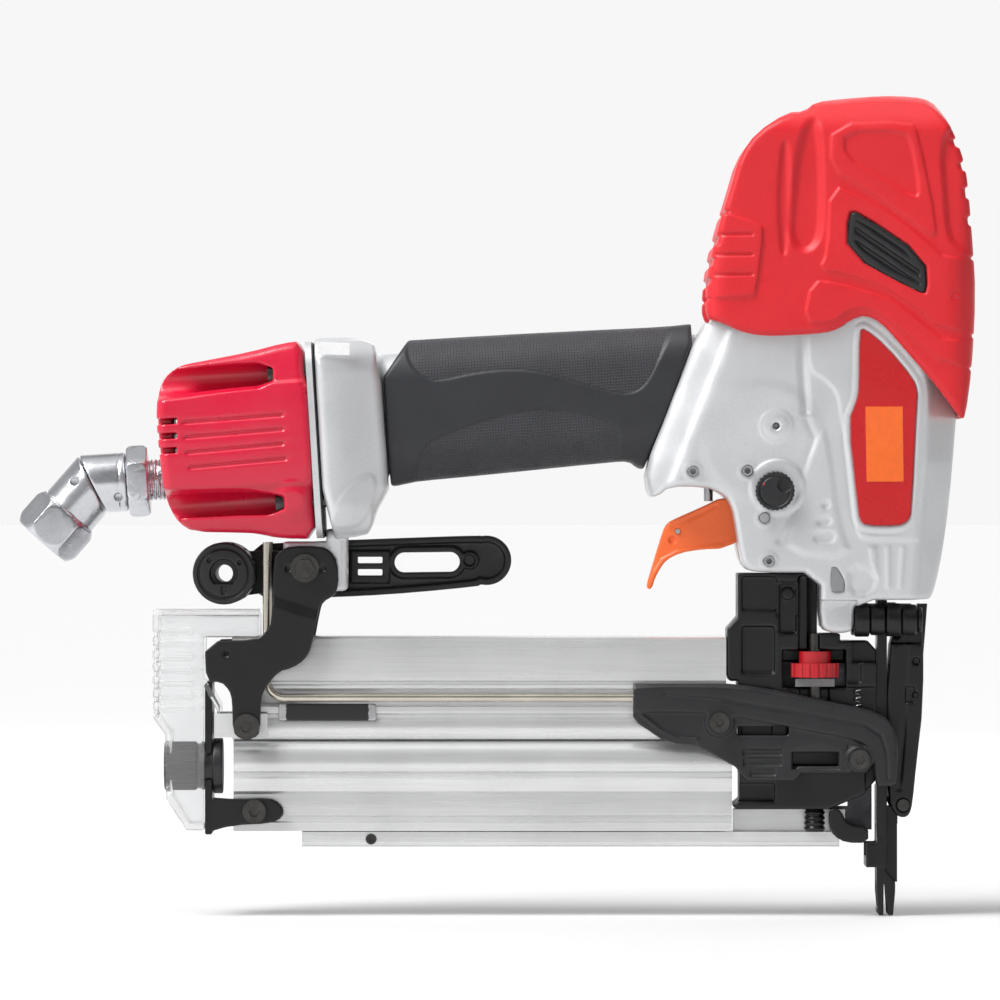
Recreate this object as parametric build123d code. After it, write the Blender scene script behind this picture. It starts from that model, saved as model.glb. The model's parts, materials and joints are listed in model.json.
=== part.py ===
from build123d import *
import math
import os

# Pneumatic flooring nailer. Millimetres, +Z up, +X towards the front of the tool.
# The nails leave at the origin, down the drive axis X = 0, Y = 0. The air plug is at -X.

# ---- driving dimensions --------------------------------------------------------------------
HALF_BODY = 28.0            # half width of the cast body, across Y
COVER_WALL = 3.5            # thickness of the head cover on the flat sides
HALF_GRIP = 18.0            # half width of the rubber grip
GRIP_WALL = 4.0             # thickness of the rubber on the handle core
HALF_REAR = 27.0            # half width of the rear flare and the end cap
HANDLE_TILT = 3.7           # degrees that the handle and plug rise towards the front

BORE = 16.0                 # radius of the working cylinder
SLEEVE_WALL = 2.5
SLEEVE_LOW = 136.0
SLEEVE_HIGH = 238.0
PISTON_LOW = 227.0          # underside of the piston at the top of its stroke
PISTON_HIGH = 236.0
STROKE = 77.0
BLADE_TIP = 84.0            # tip of the driver blade at the top of its stroke
CAP_LOW = 246.0             # joint between body casting and cylinder cap

GUIDE_LOW = 11.0            # lower end of the fixed nose guides
NAIL_LOW = 27.7             # floor of the nail channel
NAIL_HIGH = 84.0            # roof of the nail channel
HALF_CHANNEL = 2.0          # half width of the nail channel
HALF_MAGAZINE = 12.0
RAIL_REAR = -216.0
RAIL_FRONT = -52.6
COVER_SPLIT = 58.4          # height of the joint between fixed rail and sliding cover

SLACK = 0.3                 # clearance between pieces that move past each other
FIT = 0.05                  # radial clearance of a running fit
M4_HEAD = 3.5
M5_HEAD = 4.25

TRIGGER_PIVOT = (-40.5, 131.7)
VALVE_X = -58.2
KNOB_CENTRE = (-37.1, 140.6)
DIAL_X = -23.2
DIAL_Y = -10.0
SPINDLE = 2.0               # radius of the depth dial's spindle
DOOR_PIVOT = (6.1, 36.6)
LATCH_PIVOT = (10.2, 73.0)
HOOK_PIVOT = (-218.8, 113.3)
BRACKET_BOLT = (-191.8, 115.1)
BRACKET_SCREW = (-211.0, 62.8)
LATCH_KNOB = (-4.5, 49.5)   # Y and Z of the axis of the magazine latch knob
KNOB_RADIUS = 8.2           # radius of the latch knob's barrel

PLUG_START = (-238.0, 144.5)
PLUG_AXIS = (-math.cos(math.radians(HANDLE_TILT)), -math.sin(math.radians(HANDLE_TILT)))
MITRE_ANGLE = HANDLE_TILT + 22.5
ARM_ANGLE = HANDLE_TILT + 45.0
PLUG_RADIUS = 9.8           # outside of the round parts of the elbow and the arm
PLUG_BORE = 3.5             # air passage of the nipple and the elbow
INLET_RADIUS = 5.7          # tapping size of a 1/4 inch pipe thread
BEARING = 6.0               # radius of the round stub that the arm turns on
BEARING_LENGTH = 3.0

os.makedirs("parts", exist_ok=True)
nodes = {}


# ---- helpers -------------------------------------------------------------------------------
def face_of(outline, corner=0.0):
    """A flat face from an outline, with its corners rounded."""
    face = make_face(Polyline(*outline, close=True))
    if corner:
        face = fillet(face.vertices(), corner)
    return face


def slab(outline, y_low, y_high, corner=0.0):
    """An outline in X and Z, given thickness from y_low to y_high."""
    flat = Plane.XZ * face_of(outline, corner)
    return Pos(0, y_high, 0) * extrude(flat, amount=y_high - y_low)


def box(x_low, x_high, y_low, y_high, z_low, z_high):
    """A block given by its limits."""
    size = (x_high - x_low, y_high - y_low, z_high - z_low)
    middle = ((x_low + x_high) / 2, (y_low + y_high) / 2, (z_low + z_high) / 2)
    return Pos(*middle) * Box(*size)


def rod_y(centre, radius, y_low, y_high):
    """A cylinder along Y, at an X and Z centre."""
    middle = Pos(centre[0], (y_low + y_high) / 2, centre[1])
    return middle * Rot(90, 0, 0) * Cylinder(radius, y_high - y_low)


def rod_z(x, y, radius, z_low, z_high):
    """An upright cylinder."""
    return Pos(x, y, (z_low + z_high) / 2) * Cylinder(radius, z_high - z_low)


def rod_x(y, z, radius, x_low, x_high):
    """A cylinder along X."""
    return Pos((x_low + x_high) / 2, y, z) * Rot(0, 90, 0) * Cylinder(radius, x_high - x_low)


def along(point, angle):
    """A plane at an X and Z point whose normal points backwards and down by an angle."""
    turn = math.radians(angle)
    normal = (-math.cos(turn), 0, -math.sin(turn))
    return Plane(origin=(point[0], 0, point[1]), x_dir=(0, 1, 0), z_dir=normal)


def step_along(point, angle, distance):
    """The X and Z point a distance along a direction backwards and down by an angle."""
    turn = math.radians(angle)
    return (point[0] - distance * math.cos(turn), point[1] - distance * math.sin(turn))


def stud(point, angle, radius, length):
    """A cylinder that starts at an X and Z point and runs backwards and down."""
    return extrude(along(point, angle) * Circle(radius), amount=length)


def hexagon(point, angle, across_flats, length):
    """A hexagonal bar that starts at an X and Z point and runs backwards and down."""
    flat = along(point, angle) * RegularPolygon(across_flats / 2, 6, major_radius=False)
    return extrude(flat, amount=length)


def socket_screw(centre, y_face, side, head, head_height, shank, length):
    """A socket head screw along Y. Side is -1 for a head facing -Y and 1 for +Y."""
    low, high = sorted((y_face, y_face + side * head_height))
    top = rod_y(centre, head, low, high)
    reach = sorted((y_face, y_face - side * length))
    body = rod_y(centre, shank, reach[0], reach[1])
    hex_face = Plane.XZ * Pos(centre[0], centre[1]) * RegularPolygon(head * 0.5, 6)
    depth = head_height * 0.6
    start = y_face + side * head_height
    socket_low, socket_high = sorted((start, start - side * depth))
    socket = Pos(0, socket_high, 0) * extrude(hex_face, amount=socket_high - socket_low)
    return top + body - socket


def coil(x, y, z_low, z_high, radius, wire, turns):
    """A helical compression spring that stands along Z."""
    pitch = (z_high - z_low - 2 * wire) / turns
    path = Pos(x, y, z_low + wire) * Helix(pitch, pitch * turns, radius)
    start = path @ 0
    section = Plane(origin=start, z_dir=path % 0) * Circle(wire)
    return sweep(section, path, is_frenet=True)


def group(*shapes):
    """Several pieces in one node, as separate solids."""
    return Compound([solid for shape in shapes for solid in shape.solids()])


def mirrored(shape):
    """The same shape on the other side of the middle plane."""
    return mirror(shape, about=Plane.XZ)


def both(shape):
    """A shape and its mirror image, as separate solids."""
    return Compound(list(shape.solids()) + list(mirrored(shape).solids()))


# ---- main casting ---------------------------------------------------------------------------
# Inner face of the head cover, which is also the outer face of the casting and cap inside it.
HEAD_INSIDE = [
    (-57, 196), (-56.8, 207), (-54.6, 220), (-51.5, 231), (-49, 238.5), (-45.6, 249.5),
    (-40.6, 256), (-33, 262), (-23, 265.5), (-14, 267), (11, 267.5), (16, 262.5),
    (20, 255), (22.4, 248), (23.5, 240), (25.3, 220), (26.2, 205), (24.6, 181), (23.3, 164),
]
# Visible part of the casting, from the grip seam down to the nose and up to the cover's tip.
BODY_LOWER = [
    (23.3, 164), (20.9, 136.3), (18.8, 121), (16.2, 109), (14.5, 104.7), (-10.4, 104.7),
    (-10.6, 93.7), (-19.5, 93.7), (-21.8, 96), (-21.8, 113.7), (-44.8, 113.7), (-48.3, 118.8),
    (-50.3, 132.3), (-53.8, 139.6), (-59.7, 142), (-71.8, 142), (-75.4, 138.8),
    (-78.5, 138.6), (-79.7, 147.8), (-71.8, 167.8), (-61, 196),
]
HEAD_OUTSIDE = [
    (24, 164.3), (25.6, 164.7), (28, 181.2), (29.7, 205.6), (28.4, 220.4), (26.6, 240.6),
    (25.3, 248.5), (22.6, 256.7), (18.2, 265), (14.5, 269.3), (9, 270.7), (-0.7, 271),
    (-14.2, 270), (-23.5, 268.8), (-33, 265.4), (-43.1, 258.4), (-48.5, 251), (-52.1, 238.6),
    (-54.5, 231), (-57.6, 220.4), (-59.9, 207.6), (-60.2, 197.7), (-54.5, 195.7),
    (-47.9, 192.7), (-41, 191.4), (-30.4, 191.7), (-20.8, 192.4), (-16.2, 193.7),
    (-12.2, 196.7), (-7.4, 198.4), (-2, 195.7), (4, 188.9), (11.5, 180.2), (16.8, 173.9),
]
REAR_FLARE = [
    (-189, 190.2), (-187.5, 191.2), (-174.4, 191.3), (-167.6, 188.4), (-164, 142.3),
    (-165.8, 138.6), (-168.3, 134.3), (-170.1, 128.4), (-172.3, 125.5), (-185, 124.8),
]
CAP_OUTLINE = [
    (-192, 190), (-198.8, 189.4), (-210.4, 186.3), (-225, 183.5), (-232.3, 182.3),
    (-236, 180.5), (-238.8, 177.4), (-240, 174), (-240.6, 166), (-239.7, 157.6),
    (-237.9, 139.3), (-236.3, 134.4), (-233.6, 130.1), (-230, 127.4), (-225, 126.7),
    (-207.9, 126.7), (-203.1, 125.5), (-197.7, 124.7), (-188, 124.7),
]
GASKET_OUTLINE = [(-191.9, 190), (-189.1, 190.1), (-185.1, 124.8), (-187.9, 124.7)]
SPRING_PINS = [(-64, 147), (-46.1, 147.2), (-39, 117.5)]
BADGE_OUTLINE = [
    (-7, 194), (0, 186.9), (8.1, 177.5), (9.8, 172.8), (9.5, 159.4), (7.8, 133), (4, 129),
    (-7.4, 129.4), (-10.7, 149.8), (-12.4, 162.7), (-9.4, 170.6), (-8.7, 193),
]
VENT_OUTLINE = [(-12.9, 232), (-9.4, 232), (12.2, 217.5), (12.9, 205.6), (9.6, 206), (-13.2, 218.3)]


def plan_prism(x_low, x_high, half_y, corner, z_low, z_high, rear_corner=0.0):
    """An upright block with rounded vertical edges at the front, and at the rear if asked."""
    block = box(x_low, x_high, -half_y, half_y, z_low, z_high)
    front = block.edges().filter_by(Axis.Z).group_by(Axis.X)[-1]
    block = fillet(front, corner)
    if rear_corner:
        rear = block.edges().filter_by(Axis.Z).group_by(Axis.X)[0]
        block = fillet(rear, rear_corner)
    return block


def handle_prism(half_y, height, corner, x_low, x_high):
    """A bar with rounded edges along the tilted handle axis."""
    lift = math.tan(math.radians(HANDLE_TILT))
    section = RectangleRounded(height, 2 * half_y, corner)
    start = (x_high, 166.5 + lift * (x_high + 165))
    plane = along(start, HANDLE_TILT)
    turned = Plane(origin=plane.origin, x_dir=plane.z_dir.cross(Vector(0, 1, 0)),
                   z_dir=plane.z_dir)
    return extrude(turned * section, amount=(x_high - x_low) / math.cos(math.radians(HANDLE_TILT)))


def make_housing():
    """The casting: head, trigger cheeks, hollow handle core, rear flare and lower lugs."""
    body_outline = HEAD_INSIDE + BODY_LOWER[1:]
    body = slab(body_outline, -HALF_BODY, HALF_BODY)
    body &= plan_prism(-90, 26.4, HALF_BODY, 11, 90, 275)
    body &= box(-90, 30, -HALF_BODY, HALF_BODY, 90, CAP_LOW)
    lug_space = box(-22, -10, -40, 40, 93, 104.7)
    body -= lug_space - box(-22, -10, -18.5, 18.5, 93, 104.7)
    core = handle_prism(HALF_GRIP - GRIP_WALL, 39, 12, -186, -62)
    flare = slab(REAR_FLARE, -HALF_REAR, HALF_REAR)
    flare = fillet(flare.edges().filter_by(Axis.Y).group_by(Axis.X)[-2:], 1.5)
    lug = slab([(-199, 107.5), (-178, 107.5), (-178, 128), (-199, 128)], -15.1, 15.1, 1.5)
    lug -= box(-202, -184.6, -20, 20, 124, 130)
    shape = body + core + flare + lug
    # Bore for the sleeve, the air chamber behind it and the passage along the handle.
    shape -= rod_z(0, 0, BORE + SLEEVE_WALL, SLEEVE_LOW, CAP_LOW)
    shape -= box(-46, -14, -20, 20, 152, 236)
    shape -= handle_prism(9, 27, 8, -195, -40)
    shape -= box(-1.6, 1.6, -3.4, 3.4, 90, SLEEVE_LOW)
    # Slot for the trigger, bores for the valve, the pins and the mode knob.
    shape -= box(-62, -34, -6.4, 6.4, 110, 143)
    shape -= rod_z(VALVE_X, 0, 5, 143, 162)
    shape -= rod_y(TRIGGER_PIVOT, 1.6, -40, 40)
    for centre in SPRING_PINS:
        shape -= both(rod_y(centre, 1.65, -40, -14))
    shape -= rod_y(KNOB_CENTRE, 3.0, -40, -20)
    shape -= rod_y((-36.6, 161.7), 1.2, -40, -24)
    shape -= rod_y(BRACKET_BOLT, 2.5, -16, 16)
    # Recesses for the badges.
    shape -= both(slab(BADGE_OUTLINE, -40, -HALF_BODY + 0.8))
    return shape


housing = make_housing()
nodes["main_housing"] = housing

cover = slab(HEAD_OUTSIDE, -HALF_BODY - COVER_WALL, HALF_BODY + COVER_WALL)
cover &= plan_prism(-60.4, 29.9, HALF_BODY + COVER_WALL, 14, 150, 275, 7)
top_profile = [(-31.5, 150), (31.5, 150), (31.5, 262), (24, 271.2), (-24, 271.2), (-31.5, 262)]
top_face = Plane.YZ * make_face(Polyline(*top_profile, close=True))
cover &= Pos(-70, 0, 0) * extrude(top_face, amount=110, dir=(1, 0, 0))
cavity = slab(HEAD_INSIDE + [(23.3, 150), (-57, 150)], -HALF_BODY, HALF_BODY)
cavity &= plan_prism(-90, 26.4, HALF_BODY, 11, 140, 275)
cavity &= box(-90, 30, -HALF_BODY, HALF_BODY, 140, 262)
cover -= cavity
cover -= handle_prism(HALF_GRIP + 0.4, 70, 17, -90, -40)
vents = both(slab(VENT_OUTLINE, -HALF_BODY - COVER_WALL - 0.6, -HALF_BODY - 1.2))
cover -= vents
nodes["head_cover"] = cover
nodes["vent_inserts"] = vents

cap = slab(HEAD_INSIDE, -HALF_BODY, HALF_BODY) & plan_prism(-90, 26.4, HALF_BODY, 11, 140, 275)
cap &= box(-90, 30, -HALF_BODY, HALF_BODY, CAP_LOW, 262)
cap -= rod_z(0, 0, BORE + SLEEVE_WALL, 240, 258)
nodes["cylinder_cap"] = cap
nodes["side_badges"] = both(slab(BADGE_OUTLINE, -HALF_BODY - 0.4, -HALF_BODY + 0.8))

GRIP_OUTLINE = [
    (-166.6, 190.2), (-131.2, 192.5), (-95.4, 194), (-70, 195.4), (-61.2, 195.5), (-71.9, 167.8),
    (-79.8, 148), (-80.2, 147), (-86.8, 150.6), (-95.4, 149.9), (-131, 146), (-149, 144.2),
    (-159, 143.2), (-163.9, 142.5),
]
grip = slab(GRIP_OUTLINE, -HALF_GRIP, HALF_GRIP) & handle_prism(HALF_GRIP, 48, 16, -175, -50)
nodes["handle_grip"] = grip - handle_prism(HALF_GRIP - GRIP_WALL, 39, 12, -190, -50) - housing

# ---- rear end: gasket, cap, screws, filter, swivel plug ---------------------------------------
CAP_SCREWS = [(-202.9, 178.9), (-200.3, 136.9)]
HEAD_SEAT = 4.0             # how far in front of the scoops' ends the screw heads sit
end_cap = slab(CAP_OUTLINE, -HALF_REAR, HALF_REAR)
end_cap &= Pos(-214, 0, 157) * Rot(0, 90, 0) * extrude(RectangleRounded(90, 54, 13), amount=60, both=True)
end_cap -= extrude(along((-186, 157), HANDLE_TILT) * RectangleRounded(38, 42, 9), amount=34)
end_cap -= stud(PLUG_START, HANDLE_TILT + 180, 7.0, 20)
end_cap -= stud(step_along(PLUG_START, HANDLE_TILT, -1), HANDLE_TILT, 7.0, 20)
gasket = slab(GASKET_OUTLINE, -HALF_REAR + 0.6, HALF_REAR - 0.6)
gasket -= handle_prism(9, 27, 8, -196, -180)
screws = []
for centre in CAP_SCREWS:
    for side in (-1, 1):
        head_start = (centre[0] + HEAD_SEAT, centre[1])
        head = stud(head_start, HANDLE_TILT, M5_HEAD, 5)
        shank = stud(head_start, HANDLE_TILT + 180, 2.4, 17)
        socket = hexagon(step_along(head_start, HANDLE_TILT, 2), HANDLE_TILT, 4, 4)
        screws.append(Pos(0, side * 19.5, 0) * (head + shank - socket))
for screw in screws:
    end_cap -= screw
    gasket -= screw
    housing -= screw
for side in (-1, 1):
    for centre in CAP_SCREWS:
        start = (centre[0] + HEAD_SEAT, centre[1])
        end_cap -= Pos(0, side * 19.5, 0) * stud(start, HANDLE_TILT, M5_HEAD + 0.3, 60)
nodes["main_housing"] = housing
nodes["end_cap"] = end_cap
nodes["end_cap_gasket"] = gasket
nodes["end_cap_screws"] = Compound([solid for screw in screws for solid in screw.solids()])
filter_block = extrude(along((-190.5, 157), HANDLE_TILT) * RectangleRounded(37, 41, 8.5), amount=8)
for screw in screws:
    filter_block -= screw
nodes["exhaust_filter"] = filter_block - handle_prism(7, 16, 5, -210, -180) - gasket

nipple = stud(step_along(PLUG_START, HANDLE_TILT, -12), HANDLE_TILT, 7.0, 18.5)
nipple += hexagon(step_along(PLUG_START, HANDLE_TILT, 6), HANDLE_TILT, 20.6, 7)
nipple -= stud(step_along(PLUG_START, HANDLE_TILT, -12), HANDLE_TILT, PLUG_BORE, 30)
nodes["swivel_nipple"] = nipple

SPIN_START = step_along(PLUG_START, HANDLE_TILT, 13.3)
MITRE = step_along(PLUG_START, HANDLE_TILT, 24.6)
ARM_END = step_along(MITRE, ARM_ANGLE, 25.5)
mitre_cut = along(MITRE, MITRE_ANGLE)
elbow = stud(SPIN_START, HANDLE_TILT, PLUG_RADIUS, 40)
elbow -= extrude(mitre_cut * Rectangle(80, 80), amount=60)
elbow -= stud(step_along(PLUG_START, HANDLE_TILT, 10), HANDLE_TILT, PLUG_BORE, 18)
elbow -= stud(step_along(MITRE, MITRE_ANGLE, -BEARING_LENGTH - SLACK), MITRE_ANGLE, BEARING + FIT, 20)
nodes["swivel_elbow"] = elbow
arm = stud(step_along(MITRE, ARM_ANGLE, -14), ARM_ANGLE, PLUG_RADIUS, 27)
arm -= extrude(along(step_along(MITRE, MITRE_ANGLE, SLACK), MITRE_ANGLE) * Rectangle(80, 80), amount=-60)
arm += hexagon(step_along(MITRE, ARM_ANGLE, 12), ARM_ANGLE, 20.4, 13.5)
arm += stud(step_along(MITRE, MITRE_ANGLE, -BEARING_LENGTH), MITRE_ANGLE, BEARING, BEARING_LENGTH + 2)
arm -= stud(step_along(MITRE, ARM_ANGLE, 12.5), ARM_ANGLE, INLET_RADIUS, 20)
arm -= stud(step_along(MITRE, MITRE_ANGLE, -6), MITRE_ANGLE, 3.2, 8)
arm -= stud(MITRE, ARM_ANGLE, 3.2, 20)
nodes["swivel_arm"] = arm

# ---- power train: sleeve, piston, blade, bumper, head valve ------------------------------------
sleeve = rod_z(0, 0, BORE + SLEEVE_WALL, SLEEVE_LOW, SLEEVE_HIGH)
nodes["cylinder_sleeve"] = sleeve - rod_z(0, 0, BORE, SLEEVE_LOW, SLEEVE_HIGH)
bumper = rod_z(0, 0, BORE, SLEEVE_LOW, PISTON_LOW - STROKE - SLACK)
nodes["bumper"] = bumper - box(-1.6, 1.6, -3.4, 3.4, 130, 160)
piston = rod_z(0, 0, BORE - FIT, PISTON_LOW, PISTON_HIGH)
piston -= rod_z(0, 0, BORE - 4, PISTON_HIGH - 4, PISTON_HIGH)
piston -= rod_z(0, 0, 20, PISTON_LOW + 4, PISTON_LOW + 6) - rod_z(0, 0, BORE - 1.5, 200, 260)
piston_ring = rod_z(0, 0, BORE - FIT, PISTON_LOW + 4, PISTON_LOW + 6)
piston_ring -= rod_z(0, 0, BORE - 1.5, 200, 260)
nodes["piston"] = group(piston, piston_ring)
nodes["driver_blade"] = box(-0.6, 0.6, -2.2, 2.2, BLADE_TIP, PISTON_LOW)
VALVE_RADIUS = BORE + SLEEVE_WALL - FIT
valve = rod_z(0, 0, VALVE_RADIUS, SLEEVE_HIGH + SLACK, 250)
valve -= rod_z(0, 0, BORE - 1, SLEEVE_HIGH, 247)
nodes["head_valve"] = valve - rod_z(0, 0, 4, 240, 252)
nodes["head_valve_spring"] = coil(0, 0, 250, 258, 9, 0.7, 2.5)

# ---- trigger group ---------------------------------------------------------------------------
TRIGGER_OUTLINE = [
    (-36.5, 131.7), (-37.5, 135), (-40.5, 136.2), (-53.6, 138.6), (-59.6, 135.6),
    (-69.4, 131.3), (-71.6, 130), (-73.3, 127.4), (-78.7, 109.6), (-78.5, 108.1),
    (-77.1, 108.1), (-76, 111.7), (-74.1, 115.2), (-72.1, 117.8), (-67.5, 120.1),
    (-60.9, 121.2), (-52.5, 121.5), (-43, 127.5), (-40, 127.3), (-37.3, 128.6),
]
trigger = slab(TRIGGER_OUTLINE, -6.0, 6.0)
trigger -= rod_y(TRIGGER_PIVOT, 1.6 + FIT, -10, 10)
trigger -= box(-72, -46, -2.6, 2.6, 124.5, 140)
trigger -= rod_y((-70.2, 124.3), 1.35, -10, -3)
trigger_pin = rod_y(TRIGGER_PIVOT, 1.6, -HALF_BODY - 0.3, HALF_BODY + 0.3)
LEVER_PIVOT = (-68.5, 127.2)
lever = slab([(-70.2, 126.2), (-50, 127.2), (-48, 129), (-50, 130.2), (-69, 129)], -2.2, 2.2)
lever_pin = rod_y(LEVER_PIVOT, 0.8, -6.0, 6.0)
nodes["trigger_lever"] = group(lever - lever_pin, lever_pin)
nodes["trigger"] = trigger - rod_y(LEVER_PIVOT, 0.8 + FIT, -10, 10)
valve_body = rod_z(VALVE_X, 0, 5, 143, 162)
valve_body -= rod_z(VALVE_X, 0, 1.5 + FIT, 140, 152)
valve_body -= rod_z(VALVE_X, 0, 3.2, 146, 159)
nodes["trigger_valve_body"] = valve_body
stem = rod_z(VALVE_X, 0, 1.5, 137.2, 148) + rod_z(VALVE_X, 0, 2.8, 147, 149)
nodes["trigger_valve_stem"] = stem
nodes["valve_spring"] = coil(VALVE_X, 0, 149, 159, 2.2, 0.35, 4)
stubs = []
for centre in SPRING_PINS:
    tube = rod_y(centre, 1.65, -HALF_BODY - 0.3, -14) - rod_y(centre, 1.0, -40, -10)
    stubs += list(both(tube).solids())
nodes["spring_pins"] = group(trigger_pin, *stubs)
knob = rod_y(KNOB_CENTRE, 6.6, -HALF_BODY - 4, -HALF_BODY - SLACK)
knob += rod_y(KNOB_CENTRE, 3.0 - FIT, -HALF_BODY - 2, -20)
knob -= rod_y((KNOB_CENTRE[0] + 3.2, KNOB_CENTRE[1] + 2), 2.6, -40, -HALF_BODY - 2.8)
nodes["mode_knob"] = knob

# ---- nose: block, guides, door, latch, collars --------------------------------------------------
NOSE_OUTLINE = [
    (-48.8, 113.4), (-22.4, 113.4), (-22.4, 93.4), (-14.9, 93.4), (-14.9, 91), (-5.6, 91),
    (-2.8, 88), (-2.8, 45), (-7.5, 40), (-18.6, 35.3), (-28.7, 35.3), (-49.8, 35.3),
    (-50.2, 37), (-48.2, 38.6), (-48.2, 46.2), (-48.8, 58), (-48.8, 77.7), (-51.5, 77.7),
    (-52.3, 80), (-52.3, 95), (-48.8, 99),
]
channel = box(-60, 5, -HALF_CHANNEL, HALF_CHANNEL, 10, NAIL_HIGH)
nose = slab(NOSE_OUTLINE, -12.5, 12.5) - channel
nose -= box(-32, 0, -14, -8.8, 50, 75.6)
nose -= box(-6.6, 0, -14, -8.8, 36, 75.6)
nose -= box(-28, -18.4, -14, -6.4, 60, 75.6)
nose -= box(-34, -13, -20, 1, 75.6, 88)
nose -= rod_z(DIAL_X, DIAL_Y, 2.4, 88, 95)
nose -= both(box(-36, -28, -20, -9, 99.5, 110.5))
nose -= box(-52, -36.5, -20, -9, 38, 44)
nose -= both(box(-10.8, 0, -20, -7.2, 84, 95))
nodes["nose_block"] = nose

guide = box(-2.4, -0.8, -4.3, 4.3, GUIDE_LOW, 31.0) + box(-2.4, -0.8, -7, 7, 30.0, 104.4)
guide -= box(-3, 0, -1.2, 1.2, 10, NAIL_HIGH)
guide += box(-2.8, -0.8, -7, 7, 46, 88) - box(-3, 0, -1.2, 1.2, 10, NAIL_HIGH)
front = box(-0.8, 4.3, -4.3, 4.3, GUIDE_LOW, 36.0)
front -= box(-0.9, 0.8, -2.4, 2.4, 10, 40)
front += both(box(-0.8, 4.3, -7.2, -4.3, 30.5, 36.0))
side_guides = both(box(-0.8, 0.8, -7, -2.4, 36.0, 104.4))
nodes["driver_guide"] = group(guide, side_guides)

DOOR_OUTLINE = [
    (0.8, 38.6), (3.4, 33.4), (6.1, 32.3), (8.2, 33.4), (9.2, 37), (10.6, 51), (12.8, 70),
    (12.8, 102.4), (5.5, 102.4), (0.8, 86),
]
door = slab(DOOR_OUTLINE, -9.5, 9.5)
door -= box(6.4, 20, -4.6, 4.6, 66.8, 110)
door -= slab([(7.2, 52), (9, 70), (9, 110), (30, 110), (30, 52)], -4.6, 4.6)
door &= box(0.8, 30, -9.5, 9.5, 30, 110)
door -= rod_y(DOOR_PIVOT, 2.0 + FIT, -20, 20)
door -= box(-2, 20, -7.5, 7.5, 30, 39.2)
door -= both(box(0, 20, -12, -7.4, 90, 110))
front += box(4.3, 6.1, -7.1, 7.1, 33.5, 36.0)
nodes["front_guide"] = front - rod_y(DOOR_PIVOT, 2.0, -20, 20)
nodes["door_pin"] = rod_y(DOOR_PIVOT, 2.0, -10.4, 10.4)
latch = slab([(9.2, 70.5), (11.8, 70.5), (14.3, 103.2), (11.2, 103.2), (9.3, 76)], -4.2, 4.2)
latch_pin = rod_y(LATCH_PIVOT, 0.8, -9.5, 9.5)
nodes["door_latch"] = group(latch - latch_pin, latch_pin)
nodes["nose_door"] = door - rod_y(LATCH_PIVOT, 0.8 + FIT, -20, 20)
COLLAR_Y = -13.6
COLLAR_Z = 98.0
ring = rod_x(COLLAR_Y, COLLAR_Z, 5.6, -10.4, 10.6) - rod_x(COLLAR_Y, COLLAR_Z, 2.5, -20, 20)
collars = []
for index in range(4):
    start = -10.3 + index * 5.2
    collars.append(ring & box(start, start + 4.9, -20, -7, 90, 110))
collar_bolt = rod_x(COLLAR_Y, COLLAR_Z, 2.5, -18, 10.6) + rod_x(COLLAR_Y, COLLAR_Z, 4.2, 10.6, 12.2)
nodes["clamp_collars"] = both(group(collar_bolt, *collars))
nodes["main_housing"] -= both(rod_x(COLLAR_Y, COLLAR_Z, 2.5, -18, 0))

# ---- contact foot, arm, spring and depth adjuster --------------------------------------------------
FOOT_SIDE = [
    (-2.6, 43), (-2.6, 8), (-1.9, 0), (-0.3, 0), (-0.2, 10.5), (0.4, 10.5), (1.1, 0),
    (2.9, 0), (3.6, 8), (3.6, 11), (0.4, 15), (0.4, 43),
]
side_plate = slab(FOOT_SIDE, -9.2, -7.5) & box(-10, 10, -10, 0, 16, 50)
side_plate += slab(FOOT_SIDE, -6.4, -4.7) & box(-10, 10, -10, 0, 0, 19.4)
side_plate += box(-6.2, -2.0, -9.2, -4.7, 16.0, 19.4) + box(-6.2, -2.0, -9.2, -7.5, 16.0, 24.0)
side_plate += box(-2.6, 0.4, -9.2, -4.7, 16.0, 19.4)
foot_bridge = box(-6.2, -3.1, -9.2, 9.2, 16.0, 19.4) + box(-2.4, -1.0, -5, 5, 0.6, 2.6)
nodes["contact_foot"] = side_plate + mirrored(side_plate) + foot_bridge
ARM_OUTLINE = [
    (-2.9, 26), (0.3, 26), (0.3, 60), (-19, 60), (-19, 58), (-27.4, 58), (-27.4, 55.2), (-2.9, 55.2),
]
SPRING_SEAT = (-9.0, -10.3)
nodes["contact_arm"] = slab(ARM_OUTLINE, -11.3, -9.2)
nodes["contact_spring"] = coil(SPRING_SEAT[0], SPRING_SEAT[1], 60, 75.6, 1.1, 0.3, 6)
wheel = rod_z(DIAL_X, DIAL_Y, 8.0, 79.0, 83.6) + rod_z(DIAL_X, DIAL_Y, 5.3, 83.6, 87.5)
for step in range(18):
    turn = math.radians(step * 20)
    notch = (DIAL_X + 8.3 * math.cos(turn), DIAL_Y + 8.3 * math.sin(turn))
    wheel -= rod_z(notch[0], notch[1], 0.8, 78, 83.6)
nodes["depth_dial"] = wheel - rod_z(DIAL_X, DIAL_Y, SPINDLE, 78, 88)
nodes["dial_spindle"] = rod_z(DIAL_X, DIAL_Y, SPINDLE, 67, 93.4)
nut = box(DIAL_X - 3.4, DIAL_X + 3.4, DIAL_Y - 2.2, DIAL_Y + 3.2, 68.5, 72.0)
nodes["depth_stop"] = nut - rod_z(DIAL_X, DIAL_Y, SPINDLE + FIT, 60, 80)
plate = box(-29.7, -16.8, -12.5, -4.0, 75.9, 78.5)
nodes["dial_plate"] = plate - rod_z(DIAL_X, DIAL_Y, SPINDLE + FIT, 70, 80)
nodes["nose_block"] -= plate

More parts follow.
